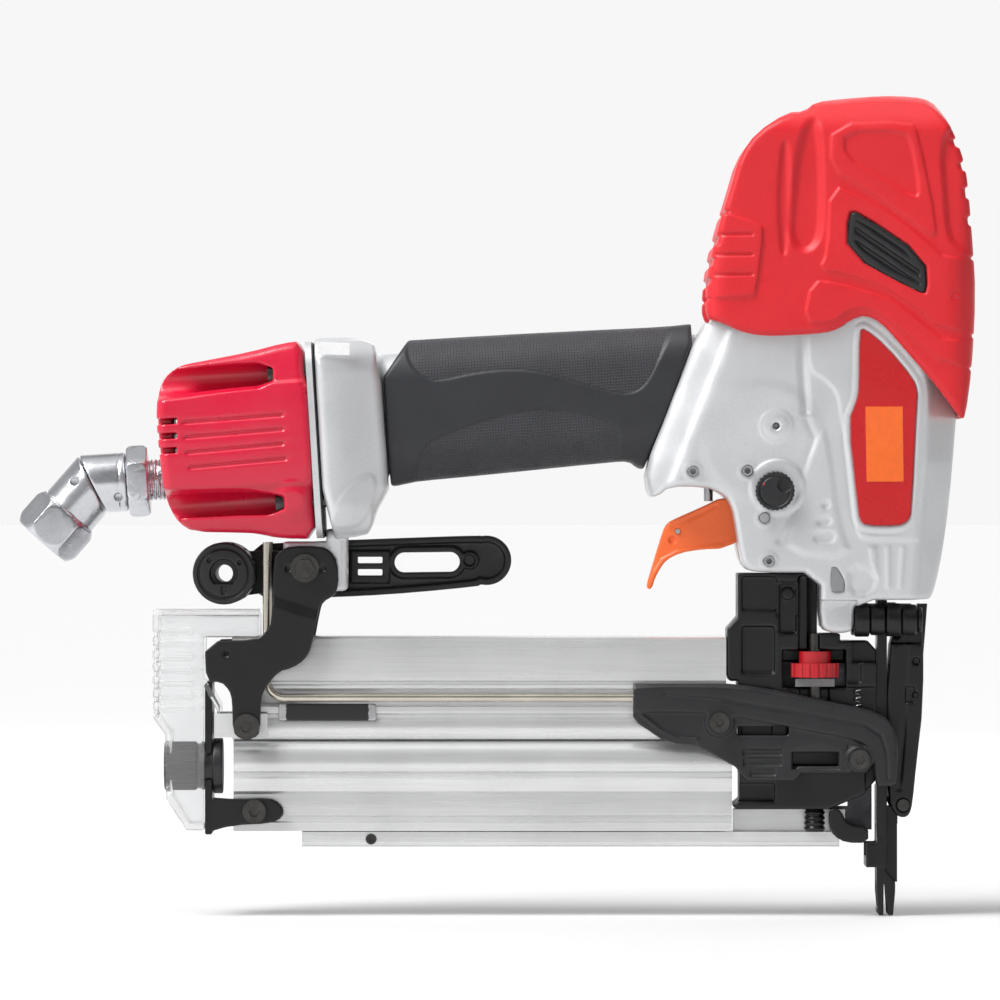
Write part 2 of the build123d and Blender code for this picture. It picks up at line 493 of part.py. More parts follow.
# ---- lever cover and lower support ------------------------------------------------------------
LEVER_OUTLINE = [
    (-83.5, 77), (-52.3, 77), (-35.4, 74.7), (-5.3, 68.4), (0, 65.8), (3.6, 60.4), (4.1, 54.5),
    (3.3, 44), (1.7, 43.2), (-3, 43.2), (-4.3, 50.3), (-6, 47.5), (-28, 47.5), (-30, 45),
    (-46, 45), (-49.8, 49.5), (-57.4, 53.8), (-62.4, 56.6), (-69.1, 57.1), (-74.3, 58.7),
    (-81.8, 63.8), (-83.5, 66),
]
COVER_SCREWS = [(-55, 64.2), (-8.7, 51.9)]
RIM_OUTLINE = [
    (-44, 73), (-35.6, 72.2), (-6, 66.0), (-1, 63.5), (1.5, 59.8), (1.9, 54.5), (1.2, 44.5),
    (-2.2, 44.5), (-3.4, 54), (-12.5, 57.5), (-13, 49.5), (-29, 49.5), (-31, 47), (-44, 47),
]
lever_cover = slab(LEVER_OUTLINE, -17.5, -15.2)
rim = slab(LEVER_OUTLINE, -15.2, -12.6) & box(-46, 10, -20, -10, 40, 80)
lever_cover += rim - slab(RIM_OUTLINE, -15.2, -12.5)
lever_cover += rod_y(COVER_SCREWS[0], 4.6, -15.2, -HALF_MAGAZINE)
lever_cover -= box(-49.3, -32, -20, -15, 59.6, 62.5)
cover_screws = []
for centre, reach in zip(COVER_SCREWS, (9.0, 12.0)):
    screw = socket_screw(centre, -17.5, -1, M4_HEAD - 0.2, 2.4, 2.0, reach)
    cover_screws += list(screw.solids())
    lever_cover -= screw
    nodes["nose_block"] -= screw
nodes["lever_cover"] = lever_cover
nodes["cover_screws"] = Compound(cover_screws)
SUPPORT_OUTLINE = [
    (-18.6, 35.2), (-16.5, 35.9), (-10.2, 29.7), (-5.6, 29.7), (-5.6, 24.2), (-12.9, 24.2),
    (-17.8, 26.7),
]
spacers = both(rod_z(DIAL_X, -7.9, 3.6, NAIL_LOW, 35.3))
nodes["nose_support"] = group(slab(SUPPORT_OUTLINE, -12.5, -9.6), spacers)

# ---- magazine: fixed rail, sliding cover, bottom rail ---------------------------------------------
def profile(points, x_low, x_high):
    """A Y and Z profile run along X."""
    flat = Plane.YZ * make_face(Polyline(*points, close=True))
    return Pos(x_low, 0, 0) * extrude(flat, amount=x_high - x_low, dir=(1, 0, 0))


RAIL_PROFILE = [
    (-12, COVER_SPLIT), (-12, 73.6), (-11.4, 73.6), (-11.4, 74.6), (-12, 74.6), (-12, 91), (-10.6, 92.4),
    (10.6, 92.4), (12, 91), (12, 30), (10, NAIL_LOW), (2, NAIL_LOW), (2, NAIL_HIGH), (-2, NAIL_HIGH),
    (-2, COVER_SPLIT),
]
rail = profile(RAIL_PROFILE, RAIL_REAR, RAIL_FRONT)
rail -= box(-230, -40, 4.5, 9.5, 34, 54) + box(-230, -40, 4.5, 9.5, 60, 80)
rail -= rod_y(COVER_SCREWS[0], 2.0, -14, -7)
nodes["magazine_rail"] = rail
SLIDER_REAR = -215.5
SLIDER_FRONT = -50.6
BULGE_LOW = 40.5
BULGE_HIGH = 58.1
slider = box(SLIDER_REAR, SLIDER_FRONT, -9, -2.2, 28.0, BULGE_HIGH)
bulge = box(SLIDER_REAR, SLIDER_FRONT, -13, -5, BULGE_LOW, BULGE_HIGH)
bulge = fillet(bulge.edges().filter_by(Axis.X).group_by(Axis.Y)[0], 5.5)
slider += bulge
slider -= box(-230, -40, -10.6, -4.4, 43.6, 54.8)
nodes["magazine_cover"] = slider
END_PLATE = (-225.0, -222.6)
end_plate = box(END_PLATE[0], END_PLATE[1], -12, 12, 27, 77.5)
end_plate += box(END_PLATE[0], -199, -12, -9.3, 30, 39)
end_plate -= rod_x(LATCH_KNOB[0], LATCH_KNOB[1], KNOB_RADIUS + SLACK, -230, -220)
LUG_SCREW = (-208.6, 34.6)
end_plate -= rod_y(LUG_SCREW, 2.5, -20, 0)
nodes["magazine_end_plate"] = end_plate
lug_screw = socket_screw(LUG_SCREW, -12, -1, 3.9, 3.2, 2.5, 8)
nodes["lug_screw"] = lug_screw
nodes["magazine_cover"] = slider + box(-215.5, -199, -9.3, -9, 30, 39) - rod_y(LUG_SCREW, 2.5, -20, 0)

knob = rod_x(LATCH_KNOB[0], LATCH_KNOB[1], KNOB_RADIUS, -238.6, -222.4)
knob += rod_x(LATCH_KNOB[0], LATCH_KNOB[1], 9.2, -222.4, -219.2)
knob -= rod_x(LATCH_KNOB[0], LATCH_KNOB[1], 5.5, -240, -229)
nodes["latch_knob"] = knob

WINDOW_OUTLINE = [
    (-242.2, 101.4), (-207, 101.4), (-207, 92.2), (-225.2, 92.2), (-225.2, 28.4), (-231, 28.4), (-234, 33),
    (-237.8, 39), (-238, 60), (-242, 65.5), (-242.2, 70),
]
WINDOW_INSIDE = [
    (-240.4, 99.6), (-206, 99.6), (-206, 90), (-225, 90), (-225, 30.4), (-230.2, 30.4), (-232.6, 34),
    (-236.1, 40), (-236.3, 60.5), (-240.2, 66), (-240.4, 70),
]
window = slab(WINDOW_OUTLINE, -14.8, 14.8) - slab(WINDOW_INSIDE, -13, 13)
window -= rod_x(LATCH_KNOB[0], LATCH_KNOB[1], KNOB_RADIUS + SLACK, -245, -230)
for step in range(7):
    slot_low = 66.5 + step * 4.3
    window -= box(-244, -239.5, -16, -6, slot_low, slot_low + 1.6)
nodes["magazine_window"] = window

bottom = box(-193, -15, -8, 8, 22.8, NAIL_LOW)
bottom = fillet(bottom.edges().filter_by(Axis.X).group_by(Axis.Z)[0], 1.5)
bottom += both(box(-50.0, -13.0, -4.1, -2.1, NAIL_LOW, 35.0))
RAIL_SCREW = (-170.1, 25.3)
bottom -= rod_y(RAIL_SCREW, 1.8, -12, -2)
nodes["bottom_rail"] = bottom
rail_screw = rod_y(RAIL_SCREW, 1.8, -8.4, -2) - rod_y(RAIL_SCREW, 0.9, -9, -7)
nodes["wear_strip"] = box(-200.6, -168.3, -12.9, -12, 64.7, 70.3)

pusher = box(-30, -4, -1.6, 1.6, 28.2, 83.4)
pusher -= box(-26, -12, -3, 3, 36, 52) + box(-26, -12, -3, 3, 58, 76)
nodes["pusher"] = pusher
band = rod_y((-62, 49.2), 4.6, -9.9, -5.2) - rod_y((-62, 49.2), 2.2, -12, -4)
nodes["pusher_spring"] = band

# ---- rear brackets, bolt, screws, stay rods -----------------------------------------------------
PLATE_NEAR = (-17.6, -15.1)
BRACKET_OUTLINE = [
    (-202.2, 117.8), (-200.1, 120.9), (-196.7, 122.4), (-186.5, 122.4), (-183.2, 120.8),
    (-180.9, 116.8), (-180.7, 108.9), (-182.5, 105.8), (-186.5, 103.6), (-187.5, 100.7),
    (-189.6, 89.1), (-191.6, 85.1), (-195.7, 82.2), (-200.6, 80.9), (-204.7, 75.9),
    (-206.4, 71.9), (-206.5, 61), (-208.5, 58.8), (-213.3, 58.8), (-215.6, 61), (-215.8, 71.4),
    (-216.8, 74.9), (-219.5, 77.6), (-224.4, 77.4), (-224.9, 91), (-207.7, 91.4),
    (-204.7, 94.1), (-202.7, 97.2),
]
bracket = slab(BRACKET_OUTLINE, *PLATE_NEAR)
bracket -= rod_y(BRACKET_BOLT, 3.0, -20, -10)
bracket -= rod_y(BRACKET_SCREW, 2.5, -20, -10)
bracket -= rod_y((-217.9, 86.8), 1.0, -20, -10)
HOOK_LOBE = [(-200, 108), (-216, 105.2), (-221, 105.2), (-226, 109), (-226, 118), (-221, 120.6), (-200, 120.6)]
bracket_far = mirrored(bracket) + slab(HOOK_LOBE, 15.1, 17.6)
bracket_far -= rod_y(BRACKET_BOLT, 3.0, 10, 20)
bracket_far -= rod_y(HOOK_PIVOT, 3.0 + FIT, 10, 20)
nodes["rear_brackets"] = group(bracket, bracket_far)
bolt = rod_y(BRACKET_BOLT, 3.0, -17.6, -15.1) + rod_y(BRACKET_BOLT, 2.5, -15.1, 15.1)
bolt += rod_y(BRACKET_BOLT, 3.0, 15.1, 17.6)
head = Plane.XZ * Pos(*BRACKET_BOLT) * RegularPolygon(3.2, 6)
bolt += Pos(0, -18.4, 0) * extrude(head, amount=2.6)
bolt += rod_y(BRACKET_BOLT, 2.5, 17.6, 20.4) + rod_y(BRACKET_BOLT, 3.2, -18.4, -17.6)
washer = rod_y(BRACKET_BOLT, 4.7, -18.4, -17.6) - rod_y(BRACKET_BOLT, 3.2, -20, -17)
nut_face = Plane.XZ * Pos(*BRACKET_BOLT) * RegularPolygon(4.4, 6)
nut = Pos(0, 20.2, 0) * extrude(nut_face, amount=2.6)
nodes["bracket_bolt"] = group(bolt, washer, nut - rod_y(BRACKET_BOLT, 2.5, 10, 25))
spacer = box(-221.8, -204.2, -15.1, -HALF_MAGAZINE, 59.2, 67) - rod_y(BRACKET_SCREW, 2.5, -20, -10)
nodes["spacer_plates"] = both(spacer & box(-222, -204, -20, 20, 58.8, 68))
near_screw = socket_screw(BRACKET_SCREW, -17.6, -1, M5_HEAD, 2.8, 2.5, 12)
nodes["magazine_screws"] = group(both(near_screw), rail_screw)
nodes["magazine_rail"] -= both(near_screw)

ROD_Y = -13.7
rod_path = FilletPolyline((-204.5, ROD_Y, 123.6), (-204.5, ROD_Y, 72.3), (-47, ROD_Y, 72.3), radius=6)
stay = sweep(Plane(origin=(-204.5, ROD_Y, 123.6), z_dir=(0, 0, -1)) * Circle(1.3), path=rod_path)
nodes["stay_rods"] = both(stay)
nodes["nose_block"] -= nodes["stay_rods"]

# ---- hook -----------------------------------------------------------------------------------
HOOK_NEAR = 20.9
HOOK_FAR = 25.9
arm_outline = [(-213, 122.4), (-140, 125.6), (-131, 125), (-124.5, 120.5), (-123.3, 117.3), (-124.5, 113.5),
               (-131, 109.6), (-183, 105), (-213, 104.6)]
hook = slab(arm_outline, HOOK_NEAR, HOOK_FAR) + rod_y(HOOK_PIVOT, 10.4, HOOK_NEAR, HOOK_FAR)
hook -= slab([(-162.5, 120.2), (-141, 120.2), (-141, 113.4), (-162.5, 113.4)], 15, 30, 3.3)
hook -= box(-175, -166.8, 15, 30, 116.4, 118.6) + box(-175, -166.8, 15, 30, 112.3, 114.6)
nodes["hook_arm"] = hook - rod_y(HOOK_PIVOT, 3.0, 15, 30)
hub = rod_y(HOOK_PIVOT, 10.4, -11, 14.6) - rod_y(HOOK_PIVOT, 6.0, -12, -7)
nodes["hook_hub"] = group(hub - rod_y(HOOK_PIVOT, 3.0, -20, 20), rod_y(HOOK_PIVOT, 3.0, -7, 27))

for name, shape in nodes.items():
    export_step(Compound(shape.solids()), f"parts/{name}.step")
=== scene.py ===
"""Looks of the flooring nailer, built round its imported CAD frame.

Blender works in metres. Shapes are drawn in millimetres, and MM turns them into metres.
"""
import json
import math

import bmesh
import bpy
import numpy as np
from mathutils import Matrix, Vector


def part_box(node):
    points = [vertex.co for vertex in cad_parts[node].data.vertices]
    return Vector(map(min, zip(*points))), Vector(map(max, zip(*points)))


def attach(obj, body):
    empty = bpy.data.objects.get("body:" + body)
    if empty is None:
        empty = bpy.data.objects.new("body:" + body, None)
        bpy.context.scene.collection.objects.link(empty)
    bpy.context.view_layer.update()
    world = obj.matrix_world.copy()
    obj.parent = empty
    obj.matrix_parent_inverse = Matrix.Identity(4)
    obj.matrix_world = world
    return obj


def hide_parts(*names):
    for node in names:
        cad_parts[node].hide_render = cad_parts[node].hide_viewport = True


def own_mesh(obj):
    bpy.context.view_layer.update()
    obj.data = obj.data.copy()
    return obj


MM = 0.001
HANDLE_LEAN = 3.7           # degrees that the handle, cap and plug lean
LEAN_SIN = math.sin(math.radians(HANDLE_LEAN))
LEAN_COS = math.cos(math.radians(HANDLE_LEAN))
HANDLE_START = (-165, 166.5)    # a point on the handle's axis, in X and Z
CAP_MIDDLE = (-214, 157)
RING_START = 191.9          # how far back the end cap's ring lies at its top
RING_LEAN = 0.0613          # how much further forward it lies a millimetre down
SCREW_SIDE = 19.5           # how far the end cap's screws lie from the middle plane
CAP_SCREWS = ((-202.9, 178.9), (-200.3, 136.9))
TRIGGER_PIVOT = (-40.5, 131.7)
KNOB_CENTRE = (-37.1, 140.6)
VALVE_BOSS = (-36.6, 161.9)
PIN_CENTRES = ((-64, 147), (-46.1, 147.2), TRIGGER_PIVOT, (-39, 117.5))
COLLAR_AXIS = (13.6, 98)    # the clamp collars' axis, in Y and Z
COVER_SCREWS = ((-55, 64.2), (-8.7, 51.9))
COVER_SCREW_HOLE = 2.05
ROD_AXIS = (13.7, 72.3)     # the stay rods' straight runs, in Y and Z
ROD_HOLE = 1.45
LATCH_KNOB = (-4.5, 49.5)   # the rear knob's axis, in Y and Z
LATCH_KNOB_ROOM = 8.6       # radius of the room left round that knob
BRACKET_BOLT = (-191.8, 115.1)
BRACKET_SCREW = (-211, 62.8)
BRACKET_HOLES = ((BRACKET_BOLT, 3.05), (BRACKET_SCREW, 2.85))
HOOK_HUB = (-218.8, 113.3)
PLUG_START = (-238.0, 144.5)
HOOK_END = (-131.9, 117.4)
HOOK_BUTTON = (-137.6, 117.4)
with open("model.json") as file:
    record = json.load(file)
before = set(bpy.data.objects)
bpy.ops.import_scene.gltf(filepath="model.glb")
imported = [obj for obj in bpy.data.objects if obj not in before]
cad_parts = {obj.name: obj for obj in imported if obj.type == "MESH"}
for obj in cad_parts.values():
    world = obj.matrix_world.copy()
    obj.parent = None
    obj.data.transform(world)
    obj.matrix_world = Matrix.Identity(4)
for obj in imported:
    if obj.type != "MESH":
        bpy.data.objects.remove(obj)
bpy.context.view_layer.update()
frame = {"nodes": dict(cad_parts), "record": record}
nodes = frame["nodes"]
bodies = frame["record"]["behaviour"]["bodies"]
node_body = {name: body for body, members in bodies.items() for name in members}
node_slot = {part["node"]: part["material_slot"] for part in frame["record"]["subparts"]}


# ---- fields: signed distances in millimetres, negative inside ------------------------------------
class Grid:
    """A block of sample points. X, Y and Z broadcast against each other."""

    def __init__(self, low, high, step):
        self.low = np.array(low, np.float32)
        self.step = step
        counts = [int(math.ceil((b - a) / step)) + 1 for a, b in zip(low, high)]
        axes = [low[i] + step * np.arange(counts[i], dtype=np.float32) for i in range(3)]
        self.x = axes[0][:, None, None]
        self.y = axes[1][None, :, None]
        self.z = axes[2][None, None, :]


def arc_outline(outline, smooth=0):
    """An outline with its corners cut round by repeated corner cutting."""
    points = np.array(outline, np.float32)
    for _ in range(smooth):
        after = np.roll(points, -1, axis=0)
        points = np.stack([0.75 * points + 0.25 * after, 0.25 * points + 0.75 * after], axis=1).reshape(-1,
                                                                                                        2)
    return points


def outline_field(u, v, outline, smooth=0):
    """Distance to a closed outline in two directions."""
    points = arc_outline(outline, smooth)
    shape = np.broadcast_shapes(u.shape, v.shape)
    nearest = np.full(shape, 1e9, np.float32)
    inside = np.zeros(shape, bool)
    for (x0, y0), (x1, y1) in zip(points, np.roll(points, -1, axis=0)):
        dx, dy = x1 - x0, y1 - y0
        along = np.clip(((u - x0) * dx + (v - y0) * dy) / (dx * dx + dy * dy + 1e-9), 0, 1)
        nearest = np.minimum(nearest, (u - x0 - along * dx) ** 2 + (v - y0 - along * dy) ** 2)
        if dy != 0:
            crosses = (y0 > v) != (y1 > v)
            inside ^= crosses & (u < x0 + (v - y0) * dx / dy)
    distance = np.sqrt(nearest)
    return np.where(inside, -distance, distance)


def line_field(u, v, line, width):
    """Distance to a stroke of a given width along an open line of points."""
    nearest = np.full(np.broadcast_shapes(u.shape, v.shape), 1e9, np.float32)
    for (x0, y0), (x1, y1) in zip(line[:-1], line[1:]):
        dx, dy = x1 - x0, y1 - y0
        along = np.clip(((u - x0) * dx + (v - y0) * dy) / (dx * dx + dy * dy + 1e-9), 0, 1)
        nearest = np.minimum(nearest, (u - x0 - along * dx) ** 2 + (v - y0 - along * dy) ** 2)
    return np.sqrt(nearest) - width / 2


def meet(a, b, edge=1.0):
    """Both shapes at once, with a round outer edge."""
    over_a = np.maximum(a + edge, 0)
    over_b = np.maximum(b + edge, 0)
    return np.minimum(np.maximum(a, b), -edge) + np.sqrt(over_a * over_a + over_b * over_b)


def join(a, b, edge=1.0):
    """Either shape, with a round inner fillet."""
    return -meet(-a, -b, edge)


def cut(a, b, edge=0.8):
    """The first shape without the second, with a round rim."""
    return meet(a, -b, edge)


def carve(shape, tool):
    """The first shape without the second, with a sharp rim."""
    return np.maximum(shape, -tool)


def all_of(first, *others):
    """Where every shape is, with sharp edges."""
    for other in others:
        first = np.maximum(first, other)
    return first


def any_of(first, *others):
    """Where any shape is, with sharp edges."""
    for other in others:
        first = np.minimum(first, other)
    return first


def between(value, low, high):
    """The stretch of an axis from low to high."""
    return np.maximum(low - value, value - high)


def rise(field, depth, width=1.0):
    """A height that climbs from 0 outside a shape to depth inside it, over a soft step."""
    t = np.clip(0.5 - field / width, 0, 1)
    return depth * t * t * (3 - 2 * t)


def ball_box(grid, low, high, edge=1.0):
    """A block with round edges."""
    middle = [(a + b) / 2 for a, b in zip(low, high)]
    half = [(b - a) / 2 - edge for a, b in zip(low, high)]
    qx = np.abs(grid.x - middle[0]) - half[0]
    qy = np.abs(grid.y - middle[1]) - half[1]
    qz = np.abs(grid.z - middle[2]) - half[2]
    outer = np.sqrt(np.maximum(qx, 0) ** 2 + np.maximum(qy, 0) ** 2 + np.maximum(qz, 0) ** 2)
    return outer + np.minimum(np.maximum(np.maximum(qx, qy), qz), 0) - edge


EDGES = [(a, b) for a in range(8) for b in range(a + 1, 8) if bin(a ^ b).count("1") == 1]


def skin(field, grid):
    """Quads round the zero level of a sampled field."""
    field = np.ascontiguousarray(field, np.float32)
    inside = field < 0
    cells = tuple(n - 1 for n in field.shape)
    corner = [(c & 1, (c >> 1) & 1, (c >> 2) & 1) for c in range(8)]

    def shifted(array, c):
        return array[c[0]:c[0] + cells[0], c[1]:c[1] + cells[1], c[2]:c[2] + cells[2]]

    some = np.zeros(cells, bool)
    every = np.ones(cells, bool)
    for c in corner:
        part = shifted(inside, c)
        some |= part
        every &= part
    spots = np.argwhere(some & ~every)
    values = [field[spots[:, 0] + c[0], spots[:, 1] + c[1], spots[:, 2] + c[2]] for c in corner]
    total = np.zeros((len(spots), 3), np.float32)
    count = np.zeros((len(spots), 1), np.float32)
    for a, b in EDGES:
        va, vb = values[a], values[b]
        hit = ((va < 0) != (vb < 0))[:, None]
        share = (va / np.where(va == vb, 1, va - vb))[:, None]
        start = np.array(corner[a], np.float32)
        end = np.array(corner[b], np.float32)
        total += np.where(hit, start + share * (end - start), 0)
        count += hit
    points = grid.low + grid.step * (spots + total / count)
    index = np.full(cells, -1, np.int64)
    index[spots[:, 0], spots[:, 1], spots[:, 2]] = np.arange(len(spots))
    quads = []
    for axis in range(3):
        ahead = [slice(None)] * 3
        behind = [slice(None)] * 3
        ahead[axis] = slice(1, None)
        behind[axis] = slice(None, -1)
        first = inside[tuple(behind)]
        change = np.argwhere(first != inside[tuple(ahead)])
        u, v = [(1, 2), (2, 0), (0, 1)][axis]
        keep = (change[:, u] > 0) & (change[:, v] > 0)
        keep &= (change[:, u] < cells[u]) & (change[:, v] < cells[v])
        change = change[keep]
        ring = []
        for du, dv in ((-1, -1), (0, -1), (0, 0), (-1, 0)):
            spot = change.copy()
            spot[:, u] += du
            spot[:, v] += dv
            ring.append(index[spot[:, 0], spot[:, 1], spot[:, 2]])
        ring = np.stack(ring, axis=1)
        flip = ~first[change[:, 0], change[:, 1], change[:, 2]]
        ring[flip] = ring[flip][:, ::-1]
        quads.append(ring)
    return points, np.concatenate(quads)


# ---- pieces --------------------------------------------------------------------------------------
def finish_piece(piece, body, materials, replaces=()):
    """Put a piece on its body, give it its materials and hide the CAD nodes it stands for."""
    for material in materials:
        piece.data.materials.append(material)
    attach(piece, body)
    if replaces:
        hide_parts(*replaces)
    return piece


def stand_in(piece, node, *materials):
    """Finish a piece that stands for one CAD node, on that node's body and in its slot."""
    return finish_piece(piece, node_body[node], materials, [node])


def show(name, mesh):
    """A new object in the scene for a mesh, light or camera."""
    piece = bpy.data.objects.new(name, mesh)
    bpy.context.scene.collection.objects.link(piece)
    return piece


def mesh_piece(name, points, faces, outward=False):
    """A mesh object from points in millimetres, with its faces turned outward if asked."""
    mesh = bpy.data.meshes.new(name)
    mesh.from_pydata((np.asarray(points) * MM).tolist(), [], [list(map(int, f)) for f in faces])
    mesh.update()
    if outward:
        shape = bmesh.new()
        shape.from_mesh(mesh)
        bmesh.ops.recalc_face_normals(shape, faces=shape.faces)
        shape.to_mesh(mesh)
        shape.free()
    return show(name, mesh)


def apply_modifiers(piece):
    """Bake the modifiers of a piece into its mesh."""
    bpy.context.view_layer.update()
    graph = bpy.context.evaluated_depsgraph_get()
    done = bpy.data.meshes.new_from_object(piece.evaluated_get(graph))
    piece.modifiers.clear()
    old = piece.data
    piece.data = done
    bpy.data.meshes.remove(old)
    return piece


def shade(piece, angle=None):
    """Smooth shading, with creases kept over an angle if one is given."""
    for polygon in piece.data.polygons:
        polygon.use_smooth = True
    if angle is not None:
        piece.data.set_sharp_from_angle(angle=math.radians(angle))
    return piece


def sculpt(name, field, grid, keep=0.35):
    """A smooth mesh from a field, thinned where it is flat."""
    shape = np.broadcast_shapes(grid.x.shape, grid.y.shape, grid.z.shape)
    points, quads = skin(np.broadcast_to(field, shape), grid)
    mesh = bpy.data.meshes.new(name)
    mesh.vertices.add(len(points))
    mesh.vertices.foreach_set("co", (points * MM).astype(np.float32).ravel())
    mesh.loops.add(quads.size)
    mesh.loops.foreach_set("vertex_index", quads.astype(np.int32).ravel())
    mesh.polygons.add(len(quads))
    mesh.polygons.foreach_set("loop_start", np.arange(0, quads.size, 4, dtype=np.int32))
    mesh.update(calc_edges=True)
    mesh.validate()
    piece = show(name, mesh)
    if keep < 1:
        thin = piece.modifiers.new("thin", "DECIMATE")
        thin.ratio = keep
        apply_modifiers(piece)
    return shade(piece)


# ---- materials -----------------------------------------------------------------------------------
def link(tree, source, target):
    """Join an output socket to an input socket."""
    tree.links.new(source, target)


def noise(tree, scale, detail=3.0, stretch=(1, 1, 1)):
    """A noise value in the piece's own space, finer as scale grows; stretch squeezes it along an axis."""
    place = tree.nodes.new("ShaderNodeTexCoord")
    mapping = tree.nodes.new("ShaderNodeMapping")
    mapping.inputs["Scale"].default_value = [scale * s for s in stretch]
    texture = tree.nodes.new("ShaderNodeTexNoise")
    texture.inputs["Scale"].default_value = 1.0
    texture.inputs["Detail"].default_value = detail
    link(tree, place.outputs["Object"], mapping.inputs["Vector"])
    link(tree, mapping.outputs["Vector"], texture.inputs["Vector"])
    return texture.outputs["Fac"]


def span(tree, value, low, high, start=0.35, end=0.65):
    """A value moved from one range to another."""
    node = tree.nodes.new("ShaderNodeMapRange")
    node.inputs["From Min"].default_value = start
    node.inputs["From Max"].default_value = end
    node.inputs["To Min"].default_value = low
    node.inputs["To Max"].default_value = high
    link(tree, value, node.inputs["Value"])
    return node.outputs["Result"]


def blend_colors(tree, amount, first, second):
    """A mix of two colours, each a value or a socket."""
    node = tree.nodes.new("ShaderNodeMix")
    node.data_type = "RGBA"
    link(tree, amount, node.inputs[0])
    for color, socket in ((first, node.inputs[6]), (second, node.inputs[7])):
        if isinstance(color, (tuple, list)):
            socket.default_value = (*color, 1)
        else:
            link(tree, color, socket)
    return node.outputs[2]


def bump(tree, height, depth, under=None, strength=1.0):
    """A bump of some depth in metres, on top of another if given."""
    node = tree.nodes.new("ShaderNodeBump")
    node.inputs["Distance"].default_value = depth
    node.inputs["Strength"].default_value = strength
    link(tree, height, node.inputs["Height"])
    if under is not None:
        link(tree, under, node.inputs["Normal"])
    return node.outputs["Normal"]


def finish(name, color, rough, metal=0.0, coat=0.0, tint=0.12, patch=60.0, grain=2500.0, grain_depth=1e-5,
           stretch=(1, 1, 1), rough_span=0.08, sheen=0.0):
    """A surface whose colour and gloss drift a little, with a fine grain."""
    material = bpy.data.materials.new(name)
    material.use_nodes = True
    tree = material.node_tree
    shader = tree.nodes["Principled BSDF"]
    shader.inputs["Metallic"].default_value = metal
    shader.inputs["Coat Weight"].default_value = coat
    shader.inputs["Coat Roughness"].default_value = 0.12
    shader.inputs["Sheen Weight"].default_value = sheen
    dark = tuple(c * (1 - tint) for c in color)
    light = tuple(min(c * (1 + tint), 1) for c in color)
    shade_color = blend_colors(tree, span(tree, noise(tree, patch, 4), 0, 1), dark, light)
    fleck = span(tree, noise(tree, grain * 0.6, 2, stretch), 0, 0.5, 0.45, 0.8)
    shade_color = blend_colors(tree, fleck, shade_color, tuple(c * 0.82 for c in color))
    link(tree, shade_color, shader.inputs["Base Color"])
    gloss = span(tree, noise(tree, patch * 2.3, 5, stretch), rough - rough_span, rough + rough_span)
    link(tree, gloss, shader.inputs["Roughness"])
    fine = bump(tree, noise(tree, grain, 3, stretch), grain_depth)
    soft = bump(tree, noise(tree, patch * 1.7, 2), grain_depth * 3, fine, 0.4)
    link(tree, soft, shader.inputs["Normal"])
    return material


def grid_finish(name, color, rough, pitch, depth):
    """Rubber moulded with a fine raised grid, pitch and depth in metres."""
    material = finish(name, color, rough, tint=0.1, grain=1800, grain_depth=1e-5)
    tree = material.node_tree
    shader = tree.nodes["Principled BSDF"]
    place = tree.nodes.new("ShaderNodeTexCoord")
    split = tree.nodes.new("ShaderNodeSeparateXYZ")
    link(tree, place.outputs["Object"], split.inputs[0])
    waves = []
    lean = math.tan(math.radians(HANDLE_LEAN))
    for first, second, share in (("X", "Z", lean), ("Z", "X", -lean)):
        total = tree.nodes.new("ShaderNodeMath")
        total.operation = "MULTIPLY_ADD"
        link(tree, split.outputs[second], total.inputs[0])
        total.inputs[1].default_value = share
        link(tree, split.outputs[first], total.inputs[2])
        wave = tree.nodes.new("ShaderNodeMath")
        wave.operation = "MULTIPLY"
        link(tree, total.outputs[0], wave.inputs[0])
        wave.inputs[1].default_value = 2 * math.pi / pitch
        sine = tree.nodes.new("ShaderNodeMath")
        sine.operation = "SINE"
        link(tree, wave.outputs[0], sine.inputs[0])
        waves.append(sine.outputs[0])
    peak = tree.nodes.new("ShaderNodeMath")
    peak.operation = "MAXIMUM"
    link(tree, waves[0], peak.inputs[0])
    link(tree, waves[1], peak.inputs[1])
    old = shader.inputs["Normal"].links[0].from_socket
    link(tree, bump(tree, span(tree, peak.outputs[0], 0, 1, 0.2, 0.95), depth, old),
         shader.inputs["Normal"])
    return material


def clear_finish(name):
    """Clear moulded plastic, seen as a pale thin wall that what is behind shows through."""
    material = bpy.data.materials.new(name)
    material.use_nodes = True
    tree = material.node_tree
    shader = tree.nodes["Principled BSDF"]
    shader.inputs["IOR"].default_value = 1.22
    shader.inputs["Transmission Weight"].default_value = 0.92
    tone = blend_colors(tree, span(tree, noise(tree, 40, 3), 0, 1), (0.90, 0.905, 0.91),
                        (0.96, 0.965, 0.97))
    link(tree, tone, shader.inputs["Base Color"])
    link(tree, span(tree, noise(tree, 200, 4), 0.06, 0.16), shader.inputs["Roughness"])
    link(tree, bump(tree, noise(tree, 300, 2), 2e-5), shader.inputs["Normal"])
    return material


